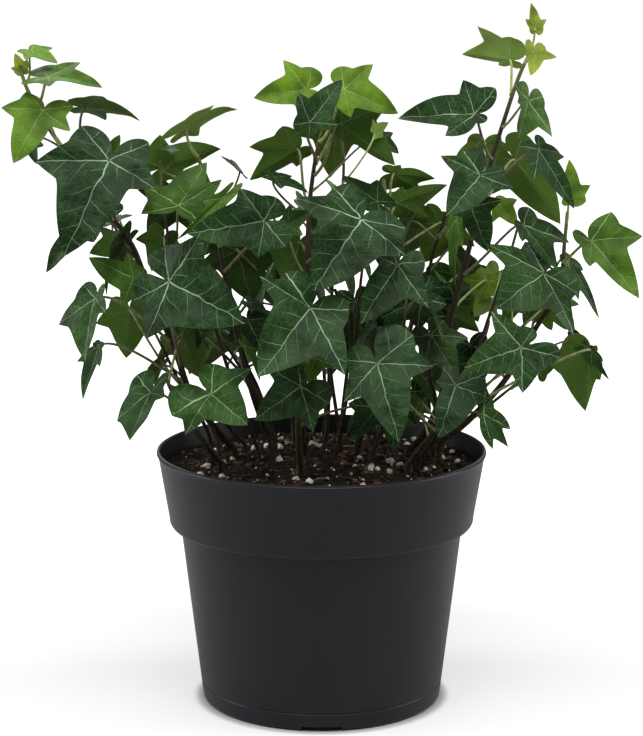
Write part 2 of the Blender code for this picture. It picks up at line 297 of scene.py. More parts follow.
def cut_away(piece, cutter_bm):
    """Takes the cutter's shape out of the piece for good."""
    cutter = add_mesh("cutter", cutter_bm, [])
    modifier = piece.modifiers.new("cut", "BOOLEAN")
    modifier.object = cutter
    graph = bpy.context.evaluated_depsgraph_get()
    mesh = bpy.data.meshes.new_from_object(piece.evaluated_get(graph))
    old_name = piece.data.name
    piece.modifiers.clear()
    piece.data = mesh
    piece.data.name = old_name
    bpy.data.objects.remove(cutter)


line_top = foot_line_height + foot_line_depth
pot_outside = [(0.0, 0.0)]
pot_outside += arc((foot_radius - foot_round, foot_round), foot_round, -90, 0, 8)
pot_outside += [
    (body_radius(foot_line_height), foot_line_height),
    (body_radius(line_top) - foot_line_depth, line_top),
    (body_radius(line_top + foot_line_depth), line_top + foot_line_depth),
]
pot_outside += straight(pot_outside[-1], (body_top_radius, collar_foot - step_round), 10)
pot_outside += arc((body_top_radius + step_round, collar_foot - step_round), step_round, 180, 90, 4)
pot_outside += arc((collar_foot_radius - collar_round, collar_foot + collar_round), collar_round, -90, 8, 8)
bead_foot = (rim_radius - bead, pot_height - bead_height)
pot_outside += straight(pot_outside[-1], bead_foot, 6) + [bead_foot]
pot_outside += arc((rim_radius - bead, pot_height - bead_height / 2), bead, -60, 60, 5)
pot_outside += arc((rim_radius - wall / 2, pot_height - wall / 2), wall / 2, 45, 180, 6)
pot_inside = [
    (collar_inside(collar_foot + 2 * wall), collar_foot + 2 * wall),
    (collar_inside(collar_foot + wall) - wall, collar_foot + wall),
    (body_top_radius - wall, collar_foot + wall),
    (foot_radius - wall, floor_thickness),
    (0.0, floor_thickness),
]
pot_plastic, tree, shader = simple_shader("charcoal_polypropylene")
place = object_place(tree)
cloudy = speckle(tree, place, 34.0, detail=3.0)
grainy = speckle(tree, place, 1500.0, detail=2.0)
scuffs = between(tree, speckle(tree, place, 210.0, detail=6.0, roughness=0.7), 0.60, 0.75)
plastic = blend_colour(tree, cloudy, (0.0080, 0.0080, 0.0120, 1.0), (0.0125, 0.0122, 0.0175, 1.0))
shader.inputs["Specular IOR Level"].default_value = 0.3
plastic = blend_colour(tree, calc(tree, "MULTIPLY", scuffs, 0.25), plastic, (0.045, 0.045, 0.048, 1.0))
tree.links.new(plastic, shader.inputs["Base Color"])
gloss = calc(tree, "MULTIPLY_ADD", cloudy, 0.12, 0.34)
tree.links.new(calc(tree, "MULTIPLY_ADD", scuffs, 0.08, gloss), shader.inputs["Roughness"])
add_bump(tree, shader, grainy, 0.00006, 0.5)

pot = add_mesh("nursery_pot", turned(pot_outside + pot_inside, pot_sides), [pot_plastic])
for index in range(groove_count):
    turn = Matrix.Rotation(math.tau * index / groove_count, 4, "Z")
    bm = bmesh.new()
    length = foot_radius + foot_round - groove_start
    groove = turn @ Matrix.Translation((groove_start + length / 2, 0.0, 0.0))
    groove = groove @ Matrix.Diagonal((length, groove_width, 2 * groove_depth, 1.0))
    bmesh.ops.create_cube(bm, size=1.0, matrix=groove)
    cut_away(pot, bm)
    bm = bmesh.new()
    bmesh.ops.create_cone(
        bm,
        cap_ends=True,
        segments=40,
        radius1=hole_radius,
        radius2=hole_radius,
        depth=4 * floor_thickness,
        matrix=turn @ Matrix.Translation((hole_place, 0.0, 0.0)),
    )
    cut_away(pot, bm)
pot.data.shade_smooth()
pot.data.set_sharp_from_angle(angle=math.radians(sharp_edge))
settle(pot, "pot_plastic", "pot")


# --- Potting mix ----------------------------------------------------------------------------------------
# A damp plug of peat that fills the pot to a finger's width below the rim and rises a little at its middle.
# Its top is loose and crumbly; its sides follow the pot.

fit_gap = 0.3 * MM
headspace = 9.0 * MM
mound = 4.0 * MM
soil_level = pot_height - headspace
soil_radius = collar_inside(soil_level) - fit_gap
crumb_size = 4.0 * MM
crumb_height = 1.5 * MM
soil_sides = 180
soil_rings = 55


def soil_height(x, y):
    """The top of the potting mix: a low mound with crumbs of several sizes."""
    share = min(1.0, math.hypot(x, y) / soil_radius)
    spot = Vector((x, y, 0.0)) / crumb_size
    crumbs = noise.fractal(spot, 0.6, 2.1, 4) * (1.0 - share**12)
    return soil_level + mound * (1.0 - share**2) + crumbs * crumb_height


bm = bmesh.new()
bmesh.ops.create_circle(bm, cap_ends=True, cap_tris=True, segments=soil_sides, radius=soil_radius)
middle = min(bm.verts, key=lambda vert: vert.co.length)
bmesh.ops.subdivide_edges(bm, edges=list(middle.link_edges), cuts=soil_rings - 1)
wall_edges = [edge for edge in bm.edges if edge.is_boundary]
for vert in bm.verts:
    vert.co.z = soil_height(vert.co.x, vert.co.y)
plug_rings = [
    (collar_inside(collar_foot + 2 * wall) - fit_gap, collar_foot + 2 * wall + fit_gap),
    (body_top_radius - wall - fit_gap, collar_foot + wall + fit_gap),
    (foot_radius - wall - fit_gap, floor_thickness + fit_gap),
]
for radius, height in plug_rings:
    grown = bmesh.ops.extrude_edge_only(bm, edges=wall_edges)["geom"]
    ring = [item for item in grown if isinstance(item, bmesh.types.BMVert)]
    wall_edges = [item for item in grown if isinstance(item, bmesh.types.BMEdge) and item.is_boundary]
    for vert in ring:
        vert.co = vert.co.to_2d().normalized().to_3d() * radius + Vector((0, 0, height))
bmesh.ops.edgeloop_fill(bm, edges=wall_edges)
bmesh.ops.recalc_face_normals(bm, faces=bm.faces)

peat, tree, shader = simple_shader("damp_peat")
place = object_place(tree)
crumbs = speckle(tree, place, 420.0, detail=8.0, roughness=0.75)
patches = speckle(tree, place, 60.0, detail=3.0)
brown = blend_colour(
    tree, between(tree, crumbs, 0.38, 0.68), (0.003, 0.002, 0.0015, 1.0), (0.034, 0.019, 0.011, 1.0)
)
brown = blend_colour(tree, between(tree, patches, 0.5, 0.75, 0.0, 0.5), brown, (0.010, 0.006, 0.004, 1.0))
tree.links.new(brown, shader.inputs["Base Color"])
tree.links.new(calc(tree, "MULTIPLY_ADD", crumbs, 0.25, 0.72), shader.inputs["Roughness"])
shader.inputs["Specular IOR Level"].default_value = 0.2
add_bump(tree, shader, crumbs, 0.0016)
soil = add_mesh("potting_mix", bm, [peat], sharp=60.0)
settle(soil, "potting_mix", "soil")


# --- Loose bits on the potting mix ----------------------------------------------------------------------
# Peat crumbs, white expanded perlite, chips of brown bark and pale root fibres, mixed through the peat. Those
# that show lie half sunk in its surface.

def scatter_place(reach=0.97):
    """A random place on the soil, even over its area."""
    radius = soil_radius * reach * math.sqrt(rng.random())
    angle = rng.uniform(0.0, math.tau)
    x, y = radius * math.cos(angle), radius * math.sin(angle)
    return Vector((x, y, soil_height(x, y)))


def random_turn():
    """A turn by any angle about any axis."""
    angle = rng.uniform(0, math.tau)
    axis = Vector([rng.uniform(-1, 1) for _ in range(3)])
    return Matrix.Rotation(angle, 4, axis.normalized())


def grain_material(name, dark, light, roughness, scale):
    """A dull, mottled finish for small loose bits."""
    material, tree, shader = simple_shader(name)
    place = object_place(tree)
    shade = speckle(tree, place, scale, detail=5.0, roughness=0.7)
    tone = blend_colour(tree, between(tree, shade, 0.35, 0.65), (*dark, 1.0), (*light, 1.0))
    tree.links.new(tone, shader.inputs["Base Color"])
    tree.links.new(calc(tree, "MULTIPLY_ADD", shade, 0.2, roughness), shader.inputs["Roughness"])
    shader.inputs["Specular IOR Level"].default_value = 0.25
    add_bump(tree, shader, speckle(tree, place, scale * 3, detail=4.0), 0.0003)
    return material


def roughen(verts, scale, size, share):
    """Breaks up the plain shape of a bit, by up to a share of its size."""
    for vert in verts:
        vert.co += noise.noise_vector(vert.co * scale) * size * share


def finish_bits(name, bm, material, sharp=sharp_edge):
    """Makes all the bits of one kind a single piece."""
    settle(add_mesh(name, bm, [material], sharp), "potting_mix")


crumb_count = 1400
crumb_radii = (0.4, 0.5, 0.6, 0.8, 1.1, 1.5)
bm = bmesh.new()
for index in range(crumb_count):
    size = rng.choice(crumb_radii) * rng.uniform(0.8, 1.2) * MM
    matrix = Matrix.Translation(scatter_place()) @ random_turn() @ Matrix.Diagonal((1.3, 1.0, 0.7, 1.0))
    crumb = bmesh.ops.create_icosphere(bm, subdivisions=1, radius=size, matrix=matrix)
    roughen(crumb["verts"], 1300, size, 0.6)
crumb_peat = grain_material("peat_crumb", (0.004, 0.0025, 0.0018), (0.050, 0.028, 0.014), 0.8, 260.0)
finish_bits("peat_crumbs", bm, crumb_peat)

perlite_count = 290
perlite_radii = (0.35, 0.4, 0.5, 0.5, 0.6, 0.7, 0.9, 1.7)
bm = bmesh.new()
for index in range(perlite_count):
    size = rng.choice(perlite_radii) * rng.uniform(0.8, 1.15) * MM
    place = scatter_place()
    stretch = Matrix.Diagonal((rng.uniform(0.8, 1.3), rng.uniform(0.8, 1.2), rng.uniform(0.7, 1.0), 1.0))
    matrix = Matrix.Translation(place + Vector((0, 0, 0.3 * size))) @ random_turn() @ stretch
    grain = bmesh.ops.create_icosphere(bm, subdivisions=1, radius=size, matrix=matrix)
    roughen(grain["verts"], 900, size, 0.35)
perlite = grain_material("perlite", (0.50, 0.41, 0.29), (0.94, 0.92, 0.86), 0.75, 330.0)
finish_bits("perlite_grains", bm, perlite, sharp=50.0)

bark_count = 300
bark_lift = 0.4 * MM
bm = bmesh.new()
for index in range(bark_count):
    long = rng.uniform(1.0, 4.2) * MM
    place = scatter_place()
    lie = Matrix.Rotation(rng.uniform(0, math.tau), 4, "Z") @ Matrix.Rotation(rng.uniform(-0.5, 0.5), 4, "Y")
    flat = Matrix.Diagonal((long, long * rng.uniform(0.25, 0.6), rng.uniform(0.4, 1.0) * MM, 1.0))
    matrix = Matrix.Translation(place + Vector((0, 0, bark_lift))) @ lie @ flat
    chip = bmesh.ops.create_cube(bm, size=1.0, matrix=matrix)
    roughen(chip["verts"], 700, long, 0.16)
pine_bark = grain_material("pine_bark", (0.016, 0.009, 0.005), (0.230, 0.130, 0.065), 0.7, 150.0)
finish_bits("bark_chips", bm, pine_bark)


def smooth_route(points, step):
    """Points about one step apart on a smooth curve through the given points."""
    ends = [points[0] * 2 - points[1]] + points + [points[-1] * 2 - points[-2]]
    route = []
    for before, start, end, after in zip(ends, ends[1:], ends[2:], ends[3:]):
        count = max(1, round((end - start).length / step))
        for index in range(count):
            t = index / count
            route.append(
                0.5
                * (
                    start * 2
                    + (end - before) * t
                    + (before * 2 - start * 5 + end * 4 - after) * t**2
                    + (start * 3 - before - end * 3 + after) * t**3
                )
            )
    return route + [points[-1]]


def sweep_tube(bm, route, radii, sides, slot=0):
    """A tube with closed ends along the route. Its "along" layer runs from 0 at the start to 1 at the end."""
    along_layer = bm.verts.layers.float.get("along") or bm.verts.layers.float.new("along")
    direction = (route[1] - route[0]).normalized()
    turn = direction.to_track_quat("Z", "Y")
    place = Matrix.LocRotScale(route[0], turn, Vector((1, 1, 1)) * radii[0])
    first = bmesh.ops.create_circle(bm, cap_ends=True, segments=sides, radius=1.0, matrix=place)
    face = first["verts"][0].link_faces[0]
    face.material_index = slot
    for index in range(1, len(route)):
        nearby = (route[min(index + 1, len(route) - 1)] - route[index - 1]).normalized()
        turn = direction.rotation_difference(nearby) @ turn
        direction = nearby
        next_place = Matrix.LocRotScale(route[index], turn, Vector((1, 1, 1)) * radii[index])
        last_cap = face
        grown = bmesh.ops.extrude_face_region(bm, geom=[last_cap])["geom"]
        verts = [item for item in grown if isinstance(item, bmesh.types.BMVert)]
        face = next(item for item in grown if isinstance(item, bmesh.types.BMFace))
        if index > 1:
            bmesh.ops.delete(bm, geom=[last_cap], context="FACES_ONLY")
        bmesh.ops.transform(bm, matrix=next_place @ place.inverted(), verts=verts)
        for vert in verts:
            vert[along_layer] = index / (len(route) - 1)
            for side_face in vert.link_faces:
                side_face.material_index = slot
        place = next_place


fibre_count = 120
fibre_radius = 0.14 * MM
fibre_lift = 0.5 * MM
bm = bmesh.new()
for index in range(fibre_count):
    start = scatter_place(0.93)
    heading = Matrix.Rotation(rng.uniform(0, math.tau), 3, "Z") @ Vector((1, 0, 0))
    reach = rng.uniform(3.0, 9.0) * MM
    bend = heading.cross(Vector((0, 0, 1))) * rng.uniform(-0.3, 0.3) * reach
    points = [start, start + heading * reach / 2 + bend, start + heading * reach]
    for point in points:
        point.z = soil_height(point.x, point.y) + fibre_lift
    sweep_tube(bm, points, [fibre_radius] * len(points), 4)
bmesh.ops.recalc_face_normals(bm, faces=bm.faces)
root_fibre = grain_material("root_fibre", (0.06, 0.035, 0.02), (0.24, 0.15, 0.08), 0.7, 300.0)
finish_bits("root_fibres", bm, root_fibre)


# --- Stems ----------------------------------------------------------------------------------------------
# Thin woody stems, each standing in its own socket in the potting mix. The wood is brown and finely cracked
# at the foot, purple-brown along its middle, and green and soft at the growing tip.

stem_foot_radius = 1.7 * MM
stem_tip_radius = 0.8 * MM
twig_foot_radius = 1.0 * MM
twig_tip_radius = 0.6 * MM
stem_depth = 14.0 * MM
stem_straight_rise = 7.0 * MM
stem_sides = 12
planting_radius = rim_radius - wall - fit_gap - 9.0 * MM

# Each stem: its foot, as shares of the planting circle to the right and to the back, then the places it
# passes, in millimetres to the right, to the back, and above the soil.
STEMS = {
    "left": ((-0.62, 0.05), [(-49, 0, 18), (-60, -6, 36), (-66, -12, 56), (-77, -20, 86), (-84, -23, 106),
                             (-95, -24, 122), (-114, -26, 150), (-124, -26, 166), (-130, -24, 178),
                             (-132, -22, 186)]),
    "inner_left": ((-0.34, 0.20), [(-27, 11, 18), (-33, 5, 38), (-41, -3, 74), (-46, -7, 105),
                                   (-48, -7, 124), (-55, -4, 142), (-60, -4, 151)]),
    "centre": ((-0.12, 0.06), [(-9, 0, 18), (-8, -4, 42), (-7, -6, 79), (-6, -4, 111), (-5, 0, 126),
                               (-2, 2, 146), (3, 2, 163)]),
    "inner_right": ((0.26, 0.12), [(19, 6, 18), (23, 0, 46), (26, -4, 84), (29, -2, 119), (28, 2, 133)]),
    "right": ((0.62, 0.02), [(49, 0, 18), (57, -4, 42), (58, -8, 66), (65, -12, 98), (75, -16, 141),
                             (81, -14, 161), (88, -10, 181), (94, -8, 193)]),
    "far_right": ((0.84, 0.26), [(68, 15, 18), (85, 9, 39), (98, 3, 64), (108, -2, 83), (110, -4, 106),
                                 (111, -4, 119)]),
    "low_left": ((-0.70, -0.34), [(-52, -25, 16), (-62, -31, 32), (-70, -34, 50)]),
    "front": ((-0.14, -0.50), [(-10, -37, 18), (-10, -43, 36), (-6, -46, 58)]),
    "low_right": ((0.60, -0.42), [(45, -30, 16), (56, -34, 30), (66, -36, 42)]),
    "back_left": ((-0.38, 0.58), [(-29, 44, 18), (-38, 53, 44), (-44, 60, 72), (-46, 62, 92)]),
    "back_right": ((0.40, 0.60), [(31, 46, 18), (40, 56, 44), (47, 63, 74), (48, 64, 94)]),
}

# Thinner side shoots that stand between the main stems, given in the same way.
SIDE_SHOOTS = {
    "shoot_a": ((-0.55, 0.22), [(-46, 13, 20), (-58, 9, 48), (-66, 2, 84), (-71, 0, 118), (-73, 0, 142)]),
    "shoot_b": ((-0.44, -0.06), [(-33, -6, 20), (-43, -12, 50), (-50, -16, 78), (-56, -18, 110),
                                 (-62, -18, 122)]),
    "shoot_c": ((0.02, 0.24), [(3, 14, 20), (4, 12, 60), (6, 10, 100), (10, 10, 134), (9, 12, 154)]),
    "shoot_d": ((0.10, -0.08), [(9, -8, 20), (14, -14, 52), (17, -18, 84), (20, -20, 110)]),
    "shoot_e": ((0.50, 0.26), [(38, 18, 20), (44, 16, 60), (52, 12, 100), (64, 8, 134), (72, 6, 150)]),
    "shoot_f": ((0.72, -0.10), [(54, -8, 18), (66, -12, 44), (76, -14, 74), (84, -16, 100), (88, -18, 116)]),
    "shoot_g": ((-0.20, 0.40), [(-14, 28, 20), (-17, 27, 50), (-20, 24, 84), (-22, 20, 116)]),
    "shoot_h": ((0.34, -0.24), [(26, -18, 18), (32, -24, 40), (36, -26, 64), (38, -28, 84)]),
    "shoot_i": ((-0.33, 0.06), [(-23, 4, 17), (-29, 2, 36), (-35, 0, 50), (-38, -2, 64), (-41, -4, 79)]),
    "shoot_j": ((-0.34, -0.10), [(-24, -6, 18), (-30, -8, 37), (-41, -14, 52), (-52, -20, 64)]),
    "shoot_k": ((-0.36, 0.00), [(-25, -2, 18), (-33, -6, 40), (-43, -12, 59), (-50, -14, 70)]),
    "shoot_l": ((-0.78, -0.05), [(-53, -4, 19), (-64, -8, 40), (-71, -12, 56), (-77, -14, 69)]),
    "shoot_m": ((-0.72, -0.14), [(-49, -8, 18), (-59, -10, 34), (-70, -14, 42)]),
    "shoot_n": ((0.12, 0.10), [(8, 6, 16), (5, 4, 38), (3, 2, 57), (2, 2, 78)]),
    "shoot_o": ((0.14, 0.17), [(9, 9, 16), (11, 6, 37), (13, 4, 56), (12, 4, 77)]),
    "shoot_p": ((0.80, 0.06), [(55, 4, 14), (68, -4, 32), (79, -8, 52), (93, -10, 70)]),
    "shoot_q": ((0.84, -0.06), [(58, -2, 14), (71, -4, 25), (91, -6, 42)]),
    "shoot_r": ((0.76, 0.16), [(52, 10, 14), (53, 8, 30), (50, 6, 44), (54, 6, 58)]),
    "back_middle": ((0.02, 0.66), [(2, 48, 20), (0, 58, 54), (-2, 66, 90), (-4, 68, 112)]),
}
ALL_STEMS = {**STEMS, **SIDE_SHOOTS}


def above_soil(place):
    """A place in metres, from one in millimetres above the soil."""
    return Vector(place) * MM + Vector((0, 0, soil_level))


def stem_route(name, step=3.0 * MM):
    """The centre line of a stem, from the foot of its socket to its tip."""
    (right, back), places = ALL_STEMS[name]
    foot = Vector((right * planting_radius, back * planting_radius, soil_level))
    points = [foot + Vector((0, 0, stem_straight_rise))] + [above_soil(place) for place in places]
    return [foot - Vector((0, 0, stem_depth))] + smooth_route(points, step)


def stem_radii(name, count):
    """A radius for each point of the route. It is even in the socket and thins out above it."""
    thick, thin = twig_foot_radius, twig_tip_radius
    if name in STEMS:
        thick, thin = stem_foot_radius, stem_tip_radius
    return [thick + (thin - thick) * max(0, index - 1) / (count - 2) for index in range(count)]


def point_on_stem(name, height):
    """The stem's centre, direction and radius at a height above the soil."""
    route = stem_route(name)
    radii = stem_radii(name, len(route))
    level = soil_level + height * MM
    for index in range(1, len(route) - 1):
        low, high = route[index], route[index + 1]
        if low.z <= level <= high.z:
            share = (level - low.z) / (high.z - low.z)
            return low.lerp(high, share), (high - low).normalized(), radii[index]
    return route[-1], (route[-1] - route[-2]).normalized(), radii[-1]


stem_bark, tree, shader = simple_shader("ivy_stem_bark")
place = object_place(tree)
along = tree.nodes.new("ShaderNodeAttribute")
along.attribute_name = "along"
age = along.outputs["Fac"]
flecks = speckle(tree, place, 900.0, detail=5.0, roughness=0.7)
bands = speckle(tree, place, 160.0, detail=3.0)
wood = blend_colour(
    tree, between(tree, flecks, 0.35, 0.7), (0.010, 0.0075, 0.004, 1.0), (0.080, 0.064, 0.032, 1.0)
)
purple = blend_colour(tree, bands, (0.016, 0.010, 0.006, 1.0), (0.058, 0.040, 0.022, 1.0))
green = blend_colour(tree, bands, (0.120, 0.130, 0.040, 1.0), (0.220, 0.240, 0.080, 1.0))
tint = blend_colour(tree, between(tree, age, 0.25, 0.6), wood, purple)
tint = blend_colour(tree, between(tree, age, 0.80, 1.0), tint, green)
tree.links.new(tint, shader.inputs["Base Color"])
tree.links.new(calc(tree, "MULTIPLY_ADD", flecks, 0.3, 0.45), shader.inputs["Roughness"])
shader.inputs["Specular IOR Level"].default_value = 0.2
add_bump(tree, shader, flecks, 0.0004)

for name in ALL_STEMS:
    bm = bmesh.new()
    route = stem_route(name)
    sweep_tube(bm, route, stem_radii(name, len(route)), stem_sides)
    bmesh.ops.recalc_face_normals(bm, faces=bm.faces)
    piece = add_mesh(f"ivy_{name}_stem", bm, [stem_bark])
    settle(piece, "stem_bark", *([f"{name}_stem"] if name in STEMS else []))


# --- Leaves ---------------------------------------------------------------------------------------------
# Leathery five-lobed blades on thin stalks. The upper side is dark and softly glossy with pale raised veins,
# brighter on young leaves, with painted shade in the dips of its puckers and painted sheen on their rises;
# the underside is paler, duller and olive, and brighter still with painted light that stands in for light
# shining through it. Each leaf grows in one piece with its stalk, whose wider foot is set into its stem.

blade_thickness = 0.35 * MM
stalk_start_radius = 0.75 * MM
stalk_end_radius = 0.55 * MM
stalk_sides = 10
stalk_steps = 14
fold_softness = 0.0009
vein_spread = 65.0
swell = 0.05
wave_scale = 2.6

# The pattern blade, whose outline the veins are drawn for. On one side, from the tip round to the notch at
# its base: the degrees from the tip at which each lobe or bay lies, its distance from the base as a share of
# the length, and how many steps of the edge lead to it.
LOBE_ANGLES = (0.0, 43.0, 62.0, 97.0, 130.0, 180.0)
LOBE_REACH = (1.0, 0.46, 0.64, 0.36, 0.44, 0.06)
EDGE_STEPS = (10, 8, 8, 8, 10)
side_steps = sum(EDGE_STEPS)
blade_rings = 9


def chord(first_angle, first_reach, last_angle, last_reach, angle):
    """How far out a straight edge between two points of the outline lies, at an angle between theirs."""
    first_angle, last_angle, angle = (math.radians(value) for value in (first_angle, last_angle, angle))
    spread = first_reach * math.sin(angle - first_angle) + last_reach * math.sin(last_angle - angle)
    return first_reach * last_reach * math.sin(last_angle - first_angle) / spread


def edge_share(span, share, notch):
    """How an edge turns from a bay (0) into a lobe (1). A high notch closes the gap at the blade's base."""
    if span in (0, 2):
        return (1.0 - share) ** (1.75 if span == 0 else 1.5)
    if span in (1, 3):
        return share**1.3
    return 1.0 - share**notch


def edge_point(step, angles, reach, notch=4.0):
    """The outline's angle and distance from the base at a step of the edge, counted from the tip."""
    for span, steps in enumerate(EDGE_STEPS):
        if step <= steps or span == len(EDGE_STEPS) - 1:
            share = step / steps
            break
        step -= steps
    angle = angles[span] + (angles[span + 1] - angles[span]) * share
    start, end = reach[span], reach[span + 1]
    lobe, bay = max(start, end), min(start, end)
    return angle, bay + (lobe - bay) * edge_share(span, share, notch)


def side_outline(side_angle, side_reach, base_angle, base_reach, notch=4.0, depth=0.72):
    """One side's angles and distances. Depth is how near its bays stay to straight edges between lobes."""
    bay_angle = 0.70 * side_angle
    back_angle = (side_angle + base_angle) / 2
    angles = (0.0, bay_angle, side_angle, back_angle, base_angle, 180.0)
    bay = depth * chord(0.0, 1.0, side_angle, side_reach, bay_angle)
    back = (0.5 + depth / 2) * chord(side_angle, side_reach, base_angle, base_reach, back_angle)
    return angles, (1.0, bay, side_reach, back, base_reach, 0.06), notch


def blade_frame(base, tip, facing):
    """X runs to the tip, Z out of the upper side, and the origin is where the stalk meets the blade."""
    along = (tip - base).normalized()
    across = Vector(facing).cross(along).normalized()
    upper = along.cross(across)
    turn = Matrix((along, across, upper)).transposed().to_4x4()
    return Matrix.Translation(base) @ turn


def add_blade(bm, length, lobes, form, seed):
    """A lobed plate at the origin with its tip on +X. It returns the corners of its underside.

    The form is how far the blade folds up at its midrib, arches along it, curls down at its sides, twists and
    waves. The plate also swells between its main veins.
    """
    pattern = bm.loops.layers.uv.new("blade")
    bmesh.ops.create_circle(bm, cap_ends=True, cap_tris=True, segments=2 * side_steps, radius=1.0)
    middle = min(bm.verts, key=lambda vert: vert.co.length)
    bmesh.ops.subdivide_edges(bm, edges=list(middle.link_edges), cuts=blade_rings - 1)
    spots = {}
    sides = {1: side_outline(*lobes[0]), -1: side_outline(*lobes[1])}
    for vert in bm.verts:
        ring = vert.co.length
        step = math.atan2(abs(vert.co.y), vert.co.x) / math.pi * side_steps if ring > 1e-6 else 0.0
        side = 1 if vert.co.y >= 0 else -1
        plain_angle, plain_reach = edge_point(step, LOBE_ANGLES, LOBE_REACH)
        angle, reach = edge_point(step, *sides[side])
        angle, plain_turn = math.radians(angle), math.radians(plain_angle)
        spots[vert] = (
            ring * plain_reach * math.cos(plain_turn),
            side * ring * plain_reach * math.sin(plain_turn),
            plain_angle,
            ring * reach,
        )
        vert.co = Vector((math.cos(angle), side * math.sin(angle), 0.0)) * ring * reach
    for face in bm.faces:
        for loop in face.loops:
            loop[pattern].uv = spots[loop.vert][:2]
    grown = bmesh.ops.extrude_face_region(bm, geom=list(bm.faces), use_keep_orig=True)["geom"]
    lower = [item for item in grown if isinstance(item, bmesh.types.BMVert)]
    fold, arch, curl, twist, wave = form
    relief = {(round(vert.co.x, 5), round(vert.co.y, 5)): spot[2:] for vert, spot in spots.items()}
    for vert in bm.verts:
        x, y = vert.co.x, vert.co.y
        plain_angle, reach = relief[(round(x, 5), round(y, 5))]
        between_veins = (plain_angle % vein_spread) / vein_spread
        height = fold * math.sqrt(y * y + fold_softness) - arch * (x * x - x) - curl * y * y + twist * x * y
        height += swell * math.sin(math.pi * between_veins) * reach
        height += wave * reach * noise.noise(Vector((x * wave_scale, y * wave_scale, seed)))
        vert.co.z = height
    for vert in lower:
        vert.co.z -= blade_thickness / length
    bmesh.ops.scale(bm, vec=(length, length, length), verts=bm.verts)
    return lower


def stalk_route(start, base, tip, facing, steps):
    """A leaf stalk leaves the stem sideways and rises, then meets the blade's base from below."""
    upper = blade_frame(base, tip, facing).col[2].to_3d()
    away = Vector((base.x - start.x, base.y - start.y, 0.0))
    reach = (base - start).length
    leaving = start + (away.normalized() * 0.3 + Vector((0, 0, 0.2))) * reach
    arriving = base - (upper * 0.22 + (tip - base).normalized() * 0.16) * reach
    end = base + upper * blade_thickness
    route = []
    for index in range(steps + 1):
        t = index / steps
        route.append(
            start * (1 - t) ** 3
            + leaving * (3 * t * (1 - t) ** 2)
            + arriving * (3 * t**2 * (1 - t))
            + end * t**3
        )
    return route


# The veins, in shares of the blade's length.
vein_wander = 0.06
vein_width = 0.0100
vein_taper = 0.0075
vein_least = 0.0040
side_vein_gap = 0.20
side_vein_slant = 0.90
side_vein_width = 0.0055
net_scale = 15.0


